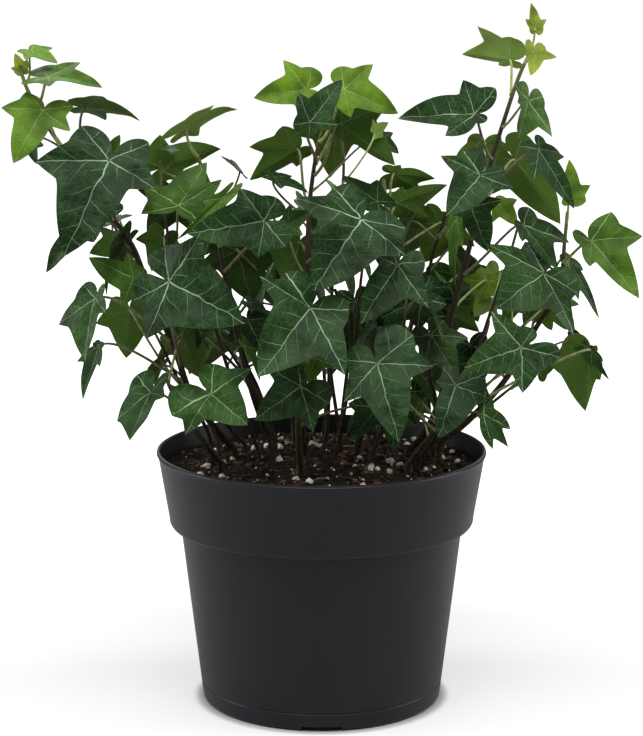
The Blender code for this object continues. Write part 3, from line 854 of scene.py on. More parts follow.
def add_leaf_veins():
    """A node group: the pale veins of an ivy blade in the blade's own map, whose tip is at (1, 0)."""
    group = bpy.data.node_groups.new("ivy_veins", "ShaderNodeTree")
    for label, kind in (("Blade", "NodeSocketVector"), ("Seed", "NodeSocketFloat")):
        group.interface.new_socket(label, in_out="INPUT", socket_type=kind)
    for label in ("Main", "Side", "Net"):
        group.interface.new_socket(label, in_out="OUTPUT", socket_type="NodeSocketFloat")
    inside = group.nodes.new("NodeGroupInput").outputs
    out = group.nodes.new("NodeGroupOutput").inputs

    # The map is pushed about a little, differently on each leaf and on each half of it.
    shift = group.nodes.new("ShaderNodeCombineXYZ")
    group.links.new(calc(group, "MULTIPLY", inside["Seed"], 37.0), shift.inputs["Z"])
    moved = group.nodes.new("ShaderNodeVectorMath")
    group.links.new(inside["Blade"], moved.inputs[0])
    group.links.new(shift.outputs[0], moved.inputs[1])
    wander = group.nodes.new("ShaderNodeTexNoise")
    wander.inputs["Scale"].default_value = 5.0
    wander.inputs["Detail"].default_value = 2.0
    group.links.new(moved.outputs[0], wander.inputs["Vector"])
    centred = group.nodes.new("ShaderNodeVectorMath")
    centred.operation = "MULTIPLY_ADD"
    centred.inputs[1].default_value = (vein_wander, vein_wander, 0.0)
    group.links.new(wander.outputs["Color"], centred.inputs[0])
    pull_back = group.nodes.new("ShaderNodeVectorMath")
    pull_back.operation = "SUBTRACT"
    pull_back.inputs[1].default_value = (vein_wander / 2, vein_wander / 2, 0.0)
    group.links.new(inside["Blade"], pull_back.inputs[0])
    group.links.new(pull_back.outputs[0], centred.inputs[2])
    parts = group.nodes.new("ShaderNodeSeparateXYZ")
    group.links.new(centred.outputs[0], parts.inputs[0])
    x, y = parts.outputs["X"], parts.outputs["Y"]

    radius = calc(group, "SQRT", calc(group, "MULTIPLY_ADD", x, x, calc(group, "MULTIPLY", y, y)))
    angle = calc(group, "ARCTAN2", calc(group, "ABSOLUTE", y), x)
    past_tip = calc(group, "GREATER_THAN", angle, math.radians((LOBE_ANGLES[0] + LOBE_ANGLES[2]) / 2))
    past_side = calc(group, "GREATER_THAN", angle, math.radians((LOBE_ANGLES[2] + LOBE_ANGLES[4]) / 2))
    side_turn, base_turn = math.radians(LOBE_ANGLES[2]), math.radians(LOBE_ANGLES[4] - LOBE_ANGLES[2])
    vein_angle = calc(group, "MULTIPLY", past_tip, side_turn)
    vein_angle = calc(group, "MULTIPLY_ADD", past_side, base_turn, vein_angle)
    turned_by = calc(group, "SUBTRACT", angle, vein_angle)
    along = calc(group, "MULTIPLY", radius, calc(group, "COSINE", turned_by))
    off = calc(group, "ABSOLUTE", calc(group, "MULTIPLY", radius, calc(group, "SINE", turned_by)))

    # Each main vein thins out towards its lobe's tip.
    width = calc(group, "MAXIMUM", calc(group, "MULTIPLY_ADD", along, -vein_taper, vein_width), vein_least)
    main = between(group, calc(group, "DIVIDE", off, width), 1.0, 0.35)
    group.links.new(main, out["Main"])

    # Side veins leave the main ones at a slant, in turn on either hand, and fade before the edge.
    hand = calc(group, "MULTIPLY_ADD", calc(group, "GREATER_THAN", turned_by, 0.0), 0.5, inside["Seed"])
    hand = calc(group, "MULTIPLY_ADD", calc(group, "GREATER_THAN", y, 0.0), 0.27, hand)
    slant = calc(group, "MULTIPLY_ADD", off, -side_vein_slant, along)
    turns = calc(group, "MULTIPLY_ADD", slant, 1.0 / side_vein_gap, hand)
    nearest = calc(group, "ABSOLUTE", calc(group, "SUBTRACT", calc(group, "FRACT", turns), 0.5))
    nearest = calc(group, "MULTIPLY", nearest, side_vein_gap)
    line = between(group, nearest, side_vein_width, 0.25 * side_vein_width)
    fade = calc(group, "MULTIPLY", between(group, off, 0.24, 0.05), between(group, slant, 0.02, 0.10))
    group.links.new(calc(group, "MULTIPLY", line, fade), out["Side"])

    # The finest veins are a net of small cells.
    cells = group.nodes.new("ShaderNodeTexVoronoi")
    cells.feature = "DISTANCE_TO_EDGE"
    cells.inputs["Scale"].default_value = net_scale
    group.links.new(centred.outputs[0], cells.inputs["Vector"])
    net = between(group, cells.outputs["Distance"], 0.10, 0.01)
    group.links.new(net, out["Net"])
    return group


leaf_veins = add_leaf_veins()


def leaf_inputs(tree):
    """The tone (0 dark and old, 1 bright and young, and partly painted light and shade), brownness and seed
    of the leaf, and its veins.
    """
    info = tree.nodes.new("ShaderNodeObjectInfo")
    own = tree.nodes.new("ShaderNodeSeparateColor")
    tree.links.new(info.outputs["Color"], own.inputs[0])
    blade = tree.nodes.new("ShaderNodeUVMap")
    blade.uv_map = "blade"
    veins = tree.nodes.new("ShaderNodeGroup")
    veins.node_tree = leaf_veins
    tree.links.new(blade.outputs[0], veins.inputs["Blade"])
    tree.links.new(own.outputs["Blue"], veins.inputs["Seed"])
    return own.outputs["Red"], own.outputs["Green"], veins.outputs


def shades(tree, tone, stops):
    """The colour for a tone, through the given (tone, colour) stops."""
    ramp = tree.nodes.new("ShaderNodeValToRGB")
    points = ramp.color_ramp.elements
    while len(points) < len(stops):
        points.new(0.5)
    for point, (position, colour) in zip(points, stops):
        point.position = position
        point.color = (*colour, 1.0)
    tree.links.new(tone, ramp.inputs[0])
    return ramp.outputs[0]


def lay_over(tree, ground, paint, layers):
    """Lays the paint over the ground, once for each mask and strength."""
    for mask, strength in layers:
        ground = blend_colour(tree, calc(tree, "MULTIPLY", mask, strength), ground, paint)
    return ground


leaf_upper, tree, shader = simple_shader("ivy_leaf_upper")
tone, brownness, veins = leaf_inputs(tree)
place = object_place(tree)
mottle = speckle(tree, place, 130.0, detail=5.0, roughness=0.65)
fine_mottle = speckle(tree, place, 900.0, detail=4.0, roughness=0.7)
wide_mottle = speckle(tree, place, 38.0, detail=2.0)
patchy_tone = calc(tree, "MULTIPLY_ADD", calc(tree, "SUBTRACT", wide_mottle, 0.5), 0.22, tone, clamp=True)
green = shades(tree, patchy_tone, [
    (0.0, (0.0125, 0.0390, 0.0085)),
    (0.3, (0.022, 0.068, 0.008)),
    (0.6, (0.072, 0.160, 0.014)),
    (0.85, (0.125, 0.240, 0.014)),
    (1.0, (0.380, 0.500, 0.055)),
])
pale = shades(tree, tone, [
    (0.0, (0.320, 0.440, 0.280)),
    (0.5, (0.360, 0.520, 0.230)),
    (1.0, (0.420, 0.560, 0.160)),
])
shader.inputs["Specular IOR Level"].default_value = 0.12
green = lay_over(tree, green, pale, [
    (between(tree, mottle, 0.50, 0.76), 0.035),
    (between(tree, fine_mottle, 0.58, 0.76), 0.07),
    (veins["Net"], 0.05),
    (veins["Side"], calc(tree, "MULTIPLY_ADD", mottle, 0.9, 0.05)),
    (veins["Main"], 0.92),
])
green = lay_over(tree, green, (0.060, 0.035, 0.018, 1.0), [(brownness, 0.6)])
puckers_and_painted_shade = speckle(tree, place, 72.0, detail=2.0)
# Painted shade and painted sheen: the colour is darker in the dips of the puckers and lighter on their rises.
green = blend_colour(tree, 1.0, green, between(tree, puckers_and_painted_shade, 0.30, 0.70, 0.60, 1.42), mode="MULTIPLY")
tree.links.new(green, shader.inputs["Base Color"])
tree.links.new(calc(tree, "MULTIPLY_ADD", mottle, 0.22, 0.27), shader.inputs["Roughness"])
relief = calc(tree, "MULTIPLY_ADD", veins["Side"], 0.5, veins["Main"])
relief = calc(tree, "MULTIPLY_ADD", veins["Net"], -0.25, relief)
relief = calc(tree, "MULTIPLY_ADD", fine_mottle, 0.12, relief)
relief = calc(tree, "MULTIPLY_ADD", puckers_and_painted_shade, 9.0, relief)
add_bump(tree, shader, relief, 0.00028, 0.9)

leaf_under, tree, shader = simple_shader("ivy_leaf_underside")
tone, brownness, veins = leaf_inputs(tree)
place = object_place(tree)
mottle = speckle(tree, place, 150.0, detail=5.0, roughness=0.65)
# The underside's olive is partly its own paler colour and partly painted light: brighter and greener, as if
# lit through the leaf from behind.
olive_and_painted_backlight = shades(tree, tone, [
    (0.0, (0.012, 0.036, 0.004)),
    (0.4, (0.070, 0.150, 0.014)),
    (1.0, (0.230, 0.350, 0.070)),
])
pale = shades(tree, tone, [
    (0.0, (0.140, 0.230, 0.070)),
    (1.0, (0.380, 0.520, 0.180)),
])
olive_and_painted_backlight = lay_over(tree, olive_and_painted_backlight, pale, [
    (between(tree, mottle, 0.4, 0.7), 0.10),
    (veins["Net"], 0.07),
    (veins["Side"], 0.5),
    (veins["Main"], 0.85),
])
shader.inputs["Specular IOR Level"].default_value = 0.14
tree.links.new(olive_and_painted_backlight, shader.inputs["Base Color"])
tree.links.new(calc(tree, "MULTIPLY_ADD", mottle, 0.25, 0.50), shader.inputs["Roughness"])
relief = calc(tree, "MULTIPLY_ADD", veins["Side"], 0.5, veins["Main"])
relief = calc(tree, "MULTIPLY_ADD", mottle, 0.4, relief)
add_bump(tree, shader, relief, 0.0004, 0.9)

leaf_stalk, tree, shader = simple_shader("ivy_leaf_stalk")
tone, brownness, veins = leaf_inputs(tree)
streaks = speckle(tree, object_place(tree), 420.0, detail=4.0, roughness=0.6)
stalk_dark = shades(tree, tone, [
    (0.0, (0.060, 0.045, 0.025)),
    (0.4, (0.130, 0.160, 0.045)),
    (1.0, (0.320, 0.420, 0.110)),
])
stalk_pale = shades(tree, tone, [
    (0.0, (0.150, 0.140, 0.065)),
    (1.0, (0.480, 0.560, 0.200)),
])
stalk_tint = blend_colour(tree, between(tree, streaks, 0.35, 0.65), stalk_dark, stalk_pale)
tree.links.new(stalk_tint, shader.inputs["Base Color"])
tree.links.new(calc(tree, "MULTIPLY_ADD", streaks, 0.2, 0.42), shader.inputs["Roughness"])
add_bump(tree, shader, streaks, 0.0002)

FRONT = (0.0, -1.0, 0.25)
UP = (0.0, -0.3, 1.0)
BACK = (0.0, 1.0, 0.3)
BACK_UP = (0.0, 0.6, 1.0)
LEFT = (-0.7, -1.0, 0.3)
RIGHT = (0.7, -1.0, 0.3)

# Each leaf: its name, how high above the soil its stalk leaves the stem that it is named after, its base and
# its tip in millimetres to the right, to the back and above the soil, the way it faces, its width, and its
# tone, from 0 on a dark old leaf to 1 on a bright young one. The tone is partly painted light: it is darker
# on some leaves that sit in shade, and brighter on some that face away from the lamps. The width is for
# leaves of the standard shape.
LEAVES = [
    ("left_leaf_01", 168, (-119, -30, 181), (-95, -36, 177), UP, 1.2, 0.60),
    ("left_leaf_02", 150, (-121, -36, 167), (-133, -46, 145), FRONT, 1.2, 0.75),
    ("left_leaf_03", 118, (-92, -44, 146), (-110, -62, 107), FRONT, 1.0, 0.00),
    ("left_leaf_04", 78, (-83, -32, 93), (-102, -38, 103), FRONT, 1.0, 0.52),
    ("left_leaf_05", 62, (-98, -52, 87), (-101, -66, 62), LEFT, 1.0, 0.20),
    ("left_leaf_06", 42, (-99, -28, 62), (-106, -36, 39), LEFT, 1.0, 0.20),
    ("left_leaf_07", 50, (-66, -50, 94), (-33, -64, 78), FRONT, 1.1, 0.00),
    ("inner_left_leaf_01", 144, (-60, -10, 157), (-38, -2, 165), BACK_UP, 1.2, 0.80),
    ("inner_left_leaf_02", 128, (-72, 4, 138), (-46, 12, 146), BACK, 1.0, 0.42),
    ("inner_left_leaf_03", 110, (-63, -24, 124), (-51, -14, 142), FRONT, 1.3, 0.45),
    ("inner_left_leaf_04", 92, (-25, -38, 119), (-58, -52, 115), FRONT, 1.0, 0.02),
    ("centre_leaf_01", 160, (-7, -8, 174), (-30, -16, 171), FRONT, 1.2, 0.85),
    ("centre_leaf_02", 150, (10, -5, 174), (34, -15, 164), FRONT, 1.2, 0.80),
    ("centre_leaf_03", 142, (-5, -26, 161), (9, -17, 179), FRONT, 1.2, 0.10),
    ("centre_leaf_04", 135, (9, 2, 158), (33, -6, 140), BACK, 1.0, 0.25),
    ("centre_leaf_05", 122, (-11, 8, 146), (-33, 16, 131), BACK, 1.0, 0.45),
    ("centre_leaf_06", 96, (17, -48, 121), (-4, -64, 92), FRONT, 1.15, 0.00),
    ("inner_right_leaf_01", 112, (34, 6, 122), (58, 14, 129), BACK, 1.0, 0.30),
    ("inner_right_leaf_02", 80, (33, -40, 100), (17, -52, 76), FRONT, 1.1, 0.05),
    ("right_leaf_01", 191, (94, -14, 201), (92, -14, 212.5), FRONT, 1.0, 1.00),
    ("right_leaf_02", 172, (84, -4, 187), (63, 4, 189), BACK, 1.0, 0.85),
    ("right_leaf_03", 158, (91, -20, 170), (86, -26, 154), RIGHT, 1.0, 0.36),
    ("right_leaf_04", 144, (67, -28, 165), (33, -42, 164), FRONT, 1.0, 0.05),
    ("right_leaf_05", 130, (95, -32, 150), (110, -42, 125), FRONT, 1.0, 0.05),
    ("right_leaf_06", 116, (69, -38, 139), (54, -50, 123), FRONT, 1.2, 0.10),
    ("right_leaf_07", 120, (88, 10, 141), (110, 16, 111), BACK, 1.0, 0.48),
    ("right_leaf_08", 92, (89, -28, 116), (104, -36, 97), FRONT, 1.0, 0.10),
    ("right_leaf_09", 60, (49, -24, 66), (61, -34, 47), FRONT, 1.0, 0.10),
    ("far_right_leaf_01", 114, (111, -8, 125), (111.5, -2, 142.5), FRONT, 1.1, 0.80),
    ("far_right_leaf_02", 96, (120, -22, 108), (140, -36, 84), FRONT, 1.1, 0.60),
    ("far_right_leaf_03", 78, (98, -32, 95), (76, -47, 82), FRONT, 1.0, 0.12),
    ("far_right_leaf_04", 60, (113, 15, 95), (128, 9, 68), RIGHT, 1.0, 0.20),
    ("far_right_leaf_05", 26, (122, -10, 56), (121, -4, 27), BACK, 1.1, 0.42),
    ("low_left_leaf_01", 36, (-75, -50, 45), (-83, -62, 26), LEFT, 1.2, 0.15),
    ("low_left_leaf_02", 30, (-48, -58, 46), (-32, -70, 35), (0.0, -1.0, 0.55), 1.2, 0.30),
    ("front_leaf_01", 52, (-5, -60, 84), (-27, -78, 57), FRONT, 1.1, 0.08),
    ("front_leaf_02", 34, (-9, -52, 48), (-29, -62, 35), FRONT, 1.3, 0.05),
    ("low_right_leaf_01", 24, (24, -56, 59), (33, -74, 28), FRONT, 1.05, 0.05),
    ("low_right_leaf_02", 34, (87, -49, 65), (62, -60, 58), FRONT, 1.2, 0.10),
    ("low_right_leaf_03", 32, (59, -44, 47), (51, -56, 26), FRONT, 1.0, 0.00),
    ("back_left_leaf_01", 84, (-48, 76, 104), (-60, 98, 84), BACK, 1.1, 0.10),
    ("back_left_leaf_02", 60, (-26, 78, 78), (-14, 98, 54), BACK, 1.1, 0.15),
    ("back_left_leaf_03", 36, (-52, 74, 50), (-66, 92, 26), BACK, 1.1, 0.05),
    ("back_right_leaf_01", 86, (52, 80, 106), (40, 102, 84), BACK, 1.1, 0.20),
    ("back_right_leaf_02", 62, (66, 76, 78), (78, 94, 52), BACK, 1.1, 0.05),
    ("back_right_leaf_03", 38, (26, 74, 52), (22, 96, 28), BACK, 1.1, 0.10),
    ("back_right_leaf_04", 20, (56, 66, 34), (70, 82, 12), BACK, 1.1, 0.30),
]

# The leaves so far stand for solid parts. The smaller and half-hidden ones from here on are this plant's own.
small_leaves_start = len(LEAVES)
LEAVES += [
    ("left_bud_01", 184, (-132, -22, 184), (-134, -24, 191), FRONT, 1.0, 1.00),
    ("left_bud_02", 182, (-132, -22, 183), (-129, -20, 188), BACK, 1.0, 1.00),
    ("left_leaf_08", 178, (-127, -22, 192), (-115, -28, 187), UP, 1.3, 0.70),
    ("left_leaf_09", 140, (-104, -16, 167), (-80, -20, 162), BACK_UP, 0.8, 0.25),
    ("left_leaf_10", 150, (-129, -20, 153), (-126, -18, 142), LEFT, 1.0, 0.15),
    ("left_leaf_11", 100, (-100, -14, 119), (-125, -8, 92), LEFT, 0.5, 0.05),
    ("left_leaf_12", 104, (-94, -10, 147), (-90, -8, 154), FRONT, 1.0, 0.70),
    ("left_leaf_13", 84, (-92, 0, 103), (-106, 4, 99), BACK, 1.2, 0.35),
    ("left_leaf_14", 86, (-94, -6, 115), (-85, -8, 118), UP, 1.0, 0.10),
    ("left_leaf_15", 36, (-88, 2, 73), (-90, 6, 50), BACK, 1.0, 0.42),
    ("left_leaf_16", 46, (-63, 0, 60), (-56, 4, 41), BACK, 1.4, 0.50),
    ("shoot_a_leaf_01", 136, (-67, 0, 147), (-76, -4, 147), UP, 1.0, 0.30),
    ("inner_left_leaf_05", 104, (-44, -30, 128), (-63, -40, 111), RIGHT, 0.30, 0.60),
    ("inner_left_leaf_06", 120, (-37, 0, 137), (-45, -4, 144), UP, 1.0, 0.10),
    ("centre_leaf_07", 140, (7, 14, 157), (4, 20, 132), BACK, 1.2, 0.45),
    ("centre_leaf_08", 118, (24, -6, 155), (30, -2, 159), BACK, 1.0, 0.90),
    ("centre_leaf_09", 128, (27, 6, 151), (35, 8, 144), RIGHT, 1.0, 0.20),
    ("centre_leaf_10", 116, (-21, -2, 134), (-6, -6, 128), UP, 0.8, 0.10),
    ("centre_leaf_11", 90, (-15, -20, 115), (-4, -24, 122), FRONT, 0.9, 0.40),
    ("inner_right_leaf_03", 112, (33, 8, 135), (52, 14, 132), BACK, 1.0, 0.35),
    ("inner_right_leaf_04", 100, (25, -16, 125), (9, -10, 136), LEFT, 0.7, 0.20),
    ("right_leaf_10", 186, (93, -16, 191), (92, -20, 181), FRONT, 1.0, 1.00),
    ("right_leaf_11", 130, (74, 6, 149), (75, 10, 133), BACK, 1.4, 0.55),
    ("right_leaf_12", 108, (66, -28, 124), (73, -34, 105), FRONT, 1.1, 0.10),
    ("right_leaf_13", 110, (81, 4, 121), (89, 0, 112), FRONT, 1.0, 0.85),
    ("right_leaf_14", 76, (76, 10, 85), (69, 10, 73), FRONT, 1.2, 0.85),
    ("far_right_leaf_06", 50, (102, 14, 70), (107, 16, 61), FRONT, 1.0, 0.80),
    ("front_leaf_03", 50, (-3, -48, 60), (-6, -54, 50), FRONT, 1.2, 0.40),
    ("front_leaf_04", 28, (25, -30, 34), (13, -34, 20), FRONT, 1.0, 0.05),
    ("low_right_leaf_04", 28, (71, -48, 35), (82, -52, 21), FRONT, 1.0, 0.15),
    ("low_right_leaf_05", 20, (45, -10, 30), (43, -14, 23), FRONT, 1.0, 0.50),
    ("shoot_c_leaf_01", 80, (-10, 10, 103), (-15, 12, 82), BACK, 1.4, 0.20),
    ("shoot_g_leaf_01", 80, (-39, 14, 99), (-32, 18, 74), BACK, 1.5, 0.05),
    ("shoot_c_leaf_02", 60, (15, 10, 76), (13, 12, 55), FRONT, 1.2, 0.05),
    ("inner_right_leaf_05", 60, (45, 12, 81), (55, 14, 62), FRONT, 1.2, 0.05),
    ("shoot_e_leaf_01", 30, (59, 10, 46), (69, 12, 29), FRONT, 1.2, 0.05),
    ("shoot_g_leaf_02", 40, (-17, 12, 62), (-24, 14, 48), FRONT, 1.2, 0.05),
    ("inner_right_leaf_06", 96, (55, 16, 111), (48, 18, 93), BACK, 1.5, 0.35),
    ("shoot_e_leaf_02", 56, (62, 20, 75), (55, 24, 60), FRONT, 1.2, 0.05),
    ("far_right_leaf_07", 40, (69, 16, 54), (73, 20, 37), FRONT, 1.2, 0.05),
    ("shoot_c_leaf_03", 40, (9, 20, 61), (14, 24, 41), FRONT, 1.2, 0.05),
    ("shoot_a_leaf_02", 92, (-67, 8, 121), (-80, 12, 106), BACK, 1.3, 0.10),
    ("shoot_a_leaf_03", 70, (-72, 4, 106), (-78, 8, 90), BACK, 1.1, 0.30),
    ("far_right_leaf_08", 56, (98, 10, 76), (93, 8, 65), FRONT, 1.3, 0.35),
    ("shoot_f_leaf_01", 56, (77, 10, 77), (70, 8, 69), BACK, 1.3, 0.80),
    ("shoot_f_leaf_02", 70, (81, 12, 88), (76, 8, 77), BACK, 1.2, 0.75),
    ("left_leaf_17", 60, (-55, -4, 69), (-57, -6, 56), RIGHT, 0.6, 0.00),
    ("shoot_g_leaf_03", 96, (-43, 16, 103), (-29, 18, 93), BACK, 1.3, 0.15),
    ("shoot_g_leaf_04", 70, (-33, 10, 75), (-24, 10, 69), RIGHT, 0.6, 0.05),
    ("shoot_g_leaf_05", 60, (-34, 10, 67), (-27, 12, 52), FRONT, 1.4, 0.00),
    ("shoot_a_leaf_04", 60, (-69, 6, 68), (-66, 8, 57), FRONT, 1.3, 0.45),
    ("shoot_e_leaf_05", 106, (61, -6, 116), (60, -8, 86), LEFT, 0.3, 0.50),
    ("inner_right_leaf_08", 70, (45, -16, 82), (20, -20, 69), FRONT, 0.8, 0.00),
    ("shoot_e_leaf_03", 26, (43, 12, 33), (51, 14, 22), FRONT, 1.1, 0.00),
    ("shoot_e_leaf_04", 64, (61, -4, 71), (72, -4, 64), BACK, 1.0, 0.20),
    ("shoot_p_leaf_01", 62, (87, 4, 76), (84, 4, 66), FRONT, 1.3, 0.55),
    ("shoot_p_leaf_02", 66, (108, 2, 77), (112, 0, 64), BACK, 1.3, 0.65),
    ("shoot_q_leaf_01", 38, (99, -6, 46), (103, -4, 59), BACK, 1.0, 0.10),
    ("low_right_leaf_06", 38, (122, -12, 57), (131, -10, 43), LEFT, 0.6, 0.20),
    ("low_right_leaf_07", 26, (33, -18, 30), (32, -22, 13), FRONT, 1.2, 0.05),
    ("low_right_leaf_08", 26, (44, -14, 33), (41, -18, 22), FRONT, 1.0, 0.40),
]

# Leaves turned to the two sides fill the depth of the plant: up each of these stems, one every so many
# millimetres between the two heights, by turns to the left and to the right.
DEPTH_LEAVES = {
    "back_left": (24, 88, 13),
    "back_right": (28, 90, 13),
    "back_middle": (22, 108, 12),
    "shoot_g": (18, 112, 13),
    "shoot_e": (20, 118, 14),
    "shoot_c": (26, 122, 14),
    "shoot_b": (30, 90, 20),
    "shoot_h": (24, 80, 18),
    "left": (44, 100, 26),
    "far_right": (46, 92, 22),
}
for stem, (lowest, highest, step) in DEPTH_LEAVES.items():
    for count, height in enumerate(range(lowest, highest, step)):
        own = random.Random(f"{stem} {height}")
        side = 1 if count % 2 else -1
        middle = point_on_stem(stem, height)[0] - Vector((0.0, 0.0, soil_level))
        base = middle / MM + Vector((side * own.uniform(6, 14), own.uniform(-4, 14), own.uniform(4, 12)))
        tip = base + Vector((side * own.uniform(5, 10), own.uniform(-8, 12), -own.uniform(13, 24)))
        facing = (side, own.uniform(-0.25, 0.45), own.uniform(0.3, 0.6))
        width, tone = own.uniform(1.0, 1.25), own.choice((0.0, 0.05, 0.15, 0.35))
        LEAVES.append((f"{stem}_side_leaf_{count + 1:02}", height, base, tip, facing, width, tone))

GROWS_ON = {"far_right_leaf_05": "low_right", "left_leaf_16": "low_left"}

# Lobes that differ from the standard ones. The first half is the one on the viewer's right when the leaf
# hangs tip down and faces the viewer. Each half gives the side lobe's angle and reach, the base lobe's, and,
# where they matter, how closed the notch at the stalk is and how full the bays are.
STANDARD_LOBES = (62, 0.64, 130, 0.45)
LOBES = {
    "left_leaf_02": ((79, 0.57, 127, 0.50, 1.2, 0.6), (66, 0.66, 114, 0.41, 0.6, 0.75)),
    "left_leaf_03": ((81, 0.52, 140, 0.42, 1.6), (63, 0.67, 120, 0.42, 1.2, 0.8)),
    "left_leaf_04": ((90, 0.63, 149, 0.41), (50, 0.50, 120, 0.30)),
    "left_leaf_05": ((46, 0.41, 160, 0.27, 1.5), (54, 0.68, 133, 0.40, 2.0, 0.85)),
    "left_leaf_06": ((27, 0.42, 100, 0.10), (42, 0.50, 100, 0.12)),
    "left_leaf_07": ((82, 0.64, 130, 0.42, 8.0, 0.85), (77, 0.69, 124, 0.42, 8.0, 0.85)),
    "inner_left_leaf_01": ((62, 0.60, 130, 0.40), (50, 0.75, 150, 0.60)),
    "inner_left_leaf_02": ((40, 0.45, 120, 0.30), (80, 0.55, 140, 0.60)),
    "inner_left_leaf_03": ((92, 0.76, 134, 0.72, 0.5), (26, 0.94, 95, 0.50, 0.6)),
    "inner_left_leaf_04": ((65, 0.48, 118, 0.40, 8.0, 0.85), (60, 0.50, 130, 0.34, 8.0, 0.85)),
    "centre_leaf_01": ((60, 0.50, 128, 0.26), (62, 0.67, 118, 0.44)),
    "centre_leaf_02": ((63, 0.61, 125, 0.40), (48, 0.51, 120, 0.40)),
    "centre_leaf_03": ((57, 0.59, 135, 0.31), (60, 0.50, 150, 0.28)),
    "centre_leaf_04": ((40, 0.30, 120, 0.25), (59, 0.75, 120, 0.35)),
    "centre_leaf_05": ((35, 0.80, 95, 0.45, 1.0), (50, 0.35, 120, 0.25)),
    "centre_leaf_06": ((83, 0.64, 113, 0.50, 1.0, 0.85), (73, 0.76, 106, 0.45, 2.5)),
    "inner_right_leaf_01": ((41, 0.73, 110, 0.30), (50, 0.30, 120, 0.25)),
    "inner_right_leaf_03": ((25, 0.95, 98, 0.42), (60, 0.24, 150, 0.36)),
    "right_leaf_01": ((34, 0.54, 110, 0.22), (59, 0.57, 110, 0.32)),
    "right_leaf_02": ((41, 0.92, 91, 0.46), (30, 0.28, 150, 0.28)),
    "right_leaf_03": ((58, 1.10, 125, 0.50), (60, 0.35, 113, 0.53)),
    "right_leaf_04": ((29, 0.52, 149, 0.18), (75, 0.42, 138, 0.44, 1.5)),
    "right_leaf_05": ((48, 0.30, 152, 0.21), (38, 0.44, 128, 0.26, 2.0)),
    "right_leaf_06": ((108, 0.63, 146, 0.49), (74, 0.77, 104, 0.51)),
    "right_leaf_08": ((30, 0.86, 127, 0.33), (40, 0.30, 140, 0.16)),
    "right_leaf_10": ((82, 1.00, 120, 0.55), (60, 0.35, 150, 0.60)),
    "right_leaf_12": ((83, 0.66, 130, 0.40), (88, 0.46, 130, 0.35)),
    "far_right_leaf_01": ((46, 0.25, 120, 0.20), (56, 0.62, 97, 0.42, 1.0)),
    "far_right_leaf_02": ((54, 0.66, 109, 0.47, 0.8), (41, 0.36, 155, 0.28)),
    "far_right_leaf_03": ((78, 1.02, 117, 0.56), (60, 1.02, 97, 0.50)),
    "far_right_leaf_04": ((25, 0.30, 140, 0.10), (21, 0.66, 100, 0.12)),
    "far_right_leaf_05": ((66, 0.65, 124, 0.45, 1.5, 0.95), (22, 0.50, 140, 0.14, 1.0, 0.9)),
    "low_left_leaf_01": ((80, 0.38, 155, 0.48), (35, 0.80, 125, 0.56, 4.0, 0.95)),
    "low_left_leaf_02": ((78, 0.93, 131, 0.68), (78, 0.93, 110, 0.85)),
    "front_leaf_01": ((61, 0.86, 124, 0.44, 2.5), (85, 0.65, 107, 0.47, 2.5)),
    "front_leaf_02": ((66, 0.82, 114, 0.56), (66, 0.70, 120, 0.45)),
    "front_leaf_03": ((80, 0.91, 130, 0.40), (47, 0.63, 130, 0.40)),
    "inner_right_leaf_02": ((65, 0.76, 130, 0.40), (80, 0.37, 130, 0.35)),
    "low_right_leaf_01": ((72, 0.67, 116, 0.56), (53, 0.61, 114, 0.38)),
    "low_right_leaf_02": ((69, 0.72, 148, 0.68), (68, 0.73, 148, 0.38)),
    "low_right_leaf_04": ((23, 0.76, 136, 0.55), (22, 0.89, 120, 0.15)),
    "low_right_leaf_03": ((88, 0.66, 132, 0.57, 4.0, 0.9), (80, 0.35, 130, 0.40)),
    "right_leaf_09": ((54, 0.69, 110, 0.35), (40, 0.68, 115, 0.36)),
    "low_right_leaf_06": ((20, 0.45, 120, 0.15), (25, 0.50, 150, 0.78)),
}
BROWN_TINGE = {"right_leaf_09": 0.15}
FORM_RANGES = {
    "fold": (0.10, 0.20),
    "arch": (0.05, 0.20),
    "curl": (0.05, 0.25),
    "twist": (-0.12, 0.12),
    "wave": (0.05, 0.09),
}
first_leaf_seed = 100


def stem_of(name):
    """The stem that a leaf is named after, unless it grows on another."""
    return GROWS_ON.get(name) or name.rsplit("_", 2)[0].removesuffix("_side")


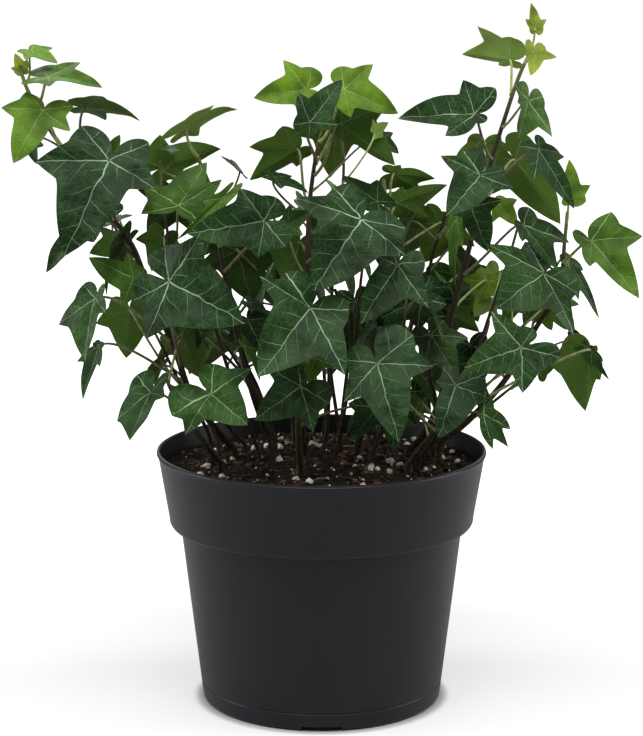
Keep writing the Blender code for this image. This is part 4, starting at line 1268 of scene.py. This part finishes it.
def varied_lobes(own):
    """The standard lobes of one half, a little different on each leaf."""
    side_angle, side_reach, base_angle, base_reach = STANDARD_LOBES
    return (
        side_angle + own.uniform(-8, 8),
        side_reach * own.uniform(0.85, 1.15),
        base_angle + own.uniform(-8, 8),
        base_reach * own.uniform(0.8, 1.15),
        own.choice((1.2, 2.5, 6.0)),
        own.uniform(0.65, 0.82),
    )


def make_leaf(number, row):
    """One leaf with its stalk, in its place. The number seeds what chance gives it."""
    name, height, base, tip, facing, width, tone = row
    own = random.Random(first_leaf_seed + number)
    base, tip = above_soil(base), above_soil(tip)
    length = (tip - base).length
    lobes, spread = LOBES.get(name), 1.0
    if not lobes:
        lobes, spread = (varied_lobes(own), varied_lobes(own)), width
    form = [own.uniform(least, most) for least, most in FORM_RANGES.values()]
    bm = bmesh.new()
    lower = set(add_blade(bm, length, lobes, form, own.uniform(0, 50)))
    bmesh.ops.scale(bm, vec=(1.0, spread, 1.0), verts=bm.verts)
    for face in bm.faces:
        face.material_index = 1 if lower.intersection(face.verts) else 0
    bmesh.ops.transform(bm, matrix=blade_frame(base, tip, facing), verts=bm.verts)

    # The stalk starts inside the stem with a wider foot, and is thinner on a small leaf.
    centre, direction, radius = point_on_stem(stem_of(name), height)
    away = base - centre
    away = (away - direction * away.dot(direction)).normalized()
    route = stalk_route(centre + away * radius * 0.6, base, tip, facing, stalk_steps)
    thin = min(1.0, 0.55 + length / 0.06)
    taper = (stalk_end_radius - stalk_start_radius) / stalk_steps
    radii = [thin * (stalk_start_radius + taper * index) for index in range(len(route))]
    radii[0] *= 1.5
    sweep_tube(bm, route, radii, stalk_sides, slot=2)
    bmesh.ops.recalc_face_normals(bm, faces=bm.faces)
    leaf = add_mesh(f"ivy_{name}", bm, [leaf_upper, leaf_under, leaf_stalk], sharp=55.0)
    leaf.color = (tone, BROWN_TINGE.get(name, 0.0), own.random(), 1.0)
    settle(leaf, "leaf", *([name] if number < small_leaves_start else []))


for number, row in enumerate(LEAVES):
    make_leaf(number, row)
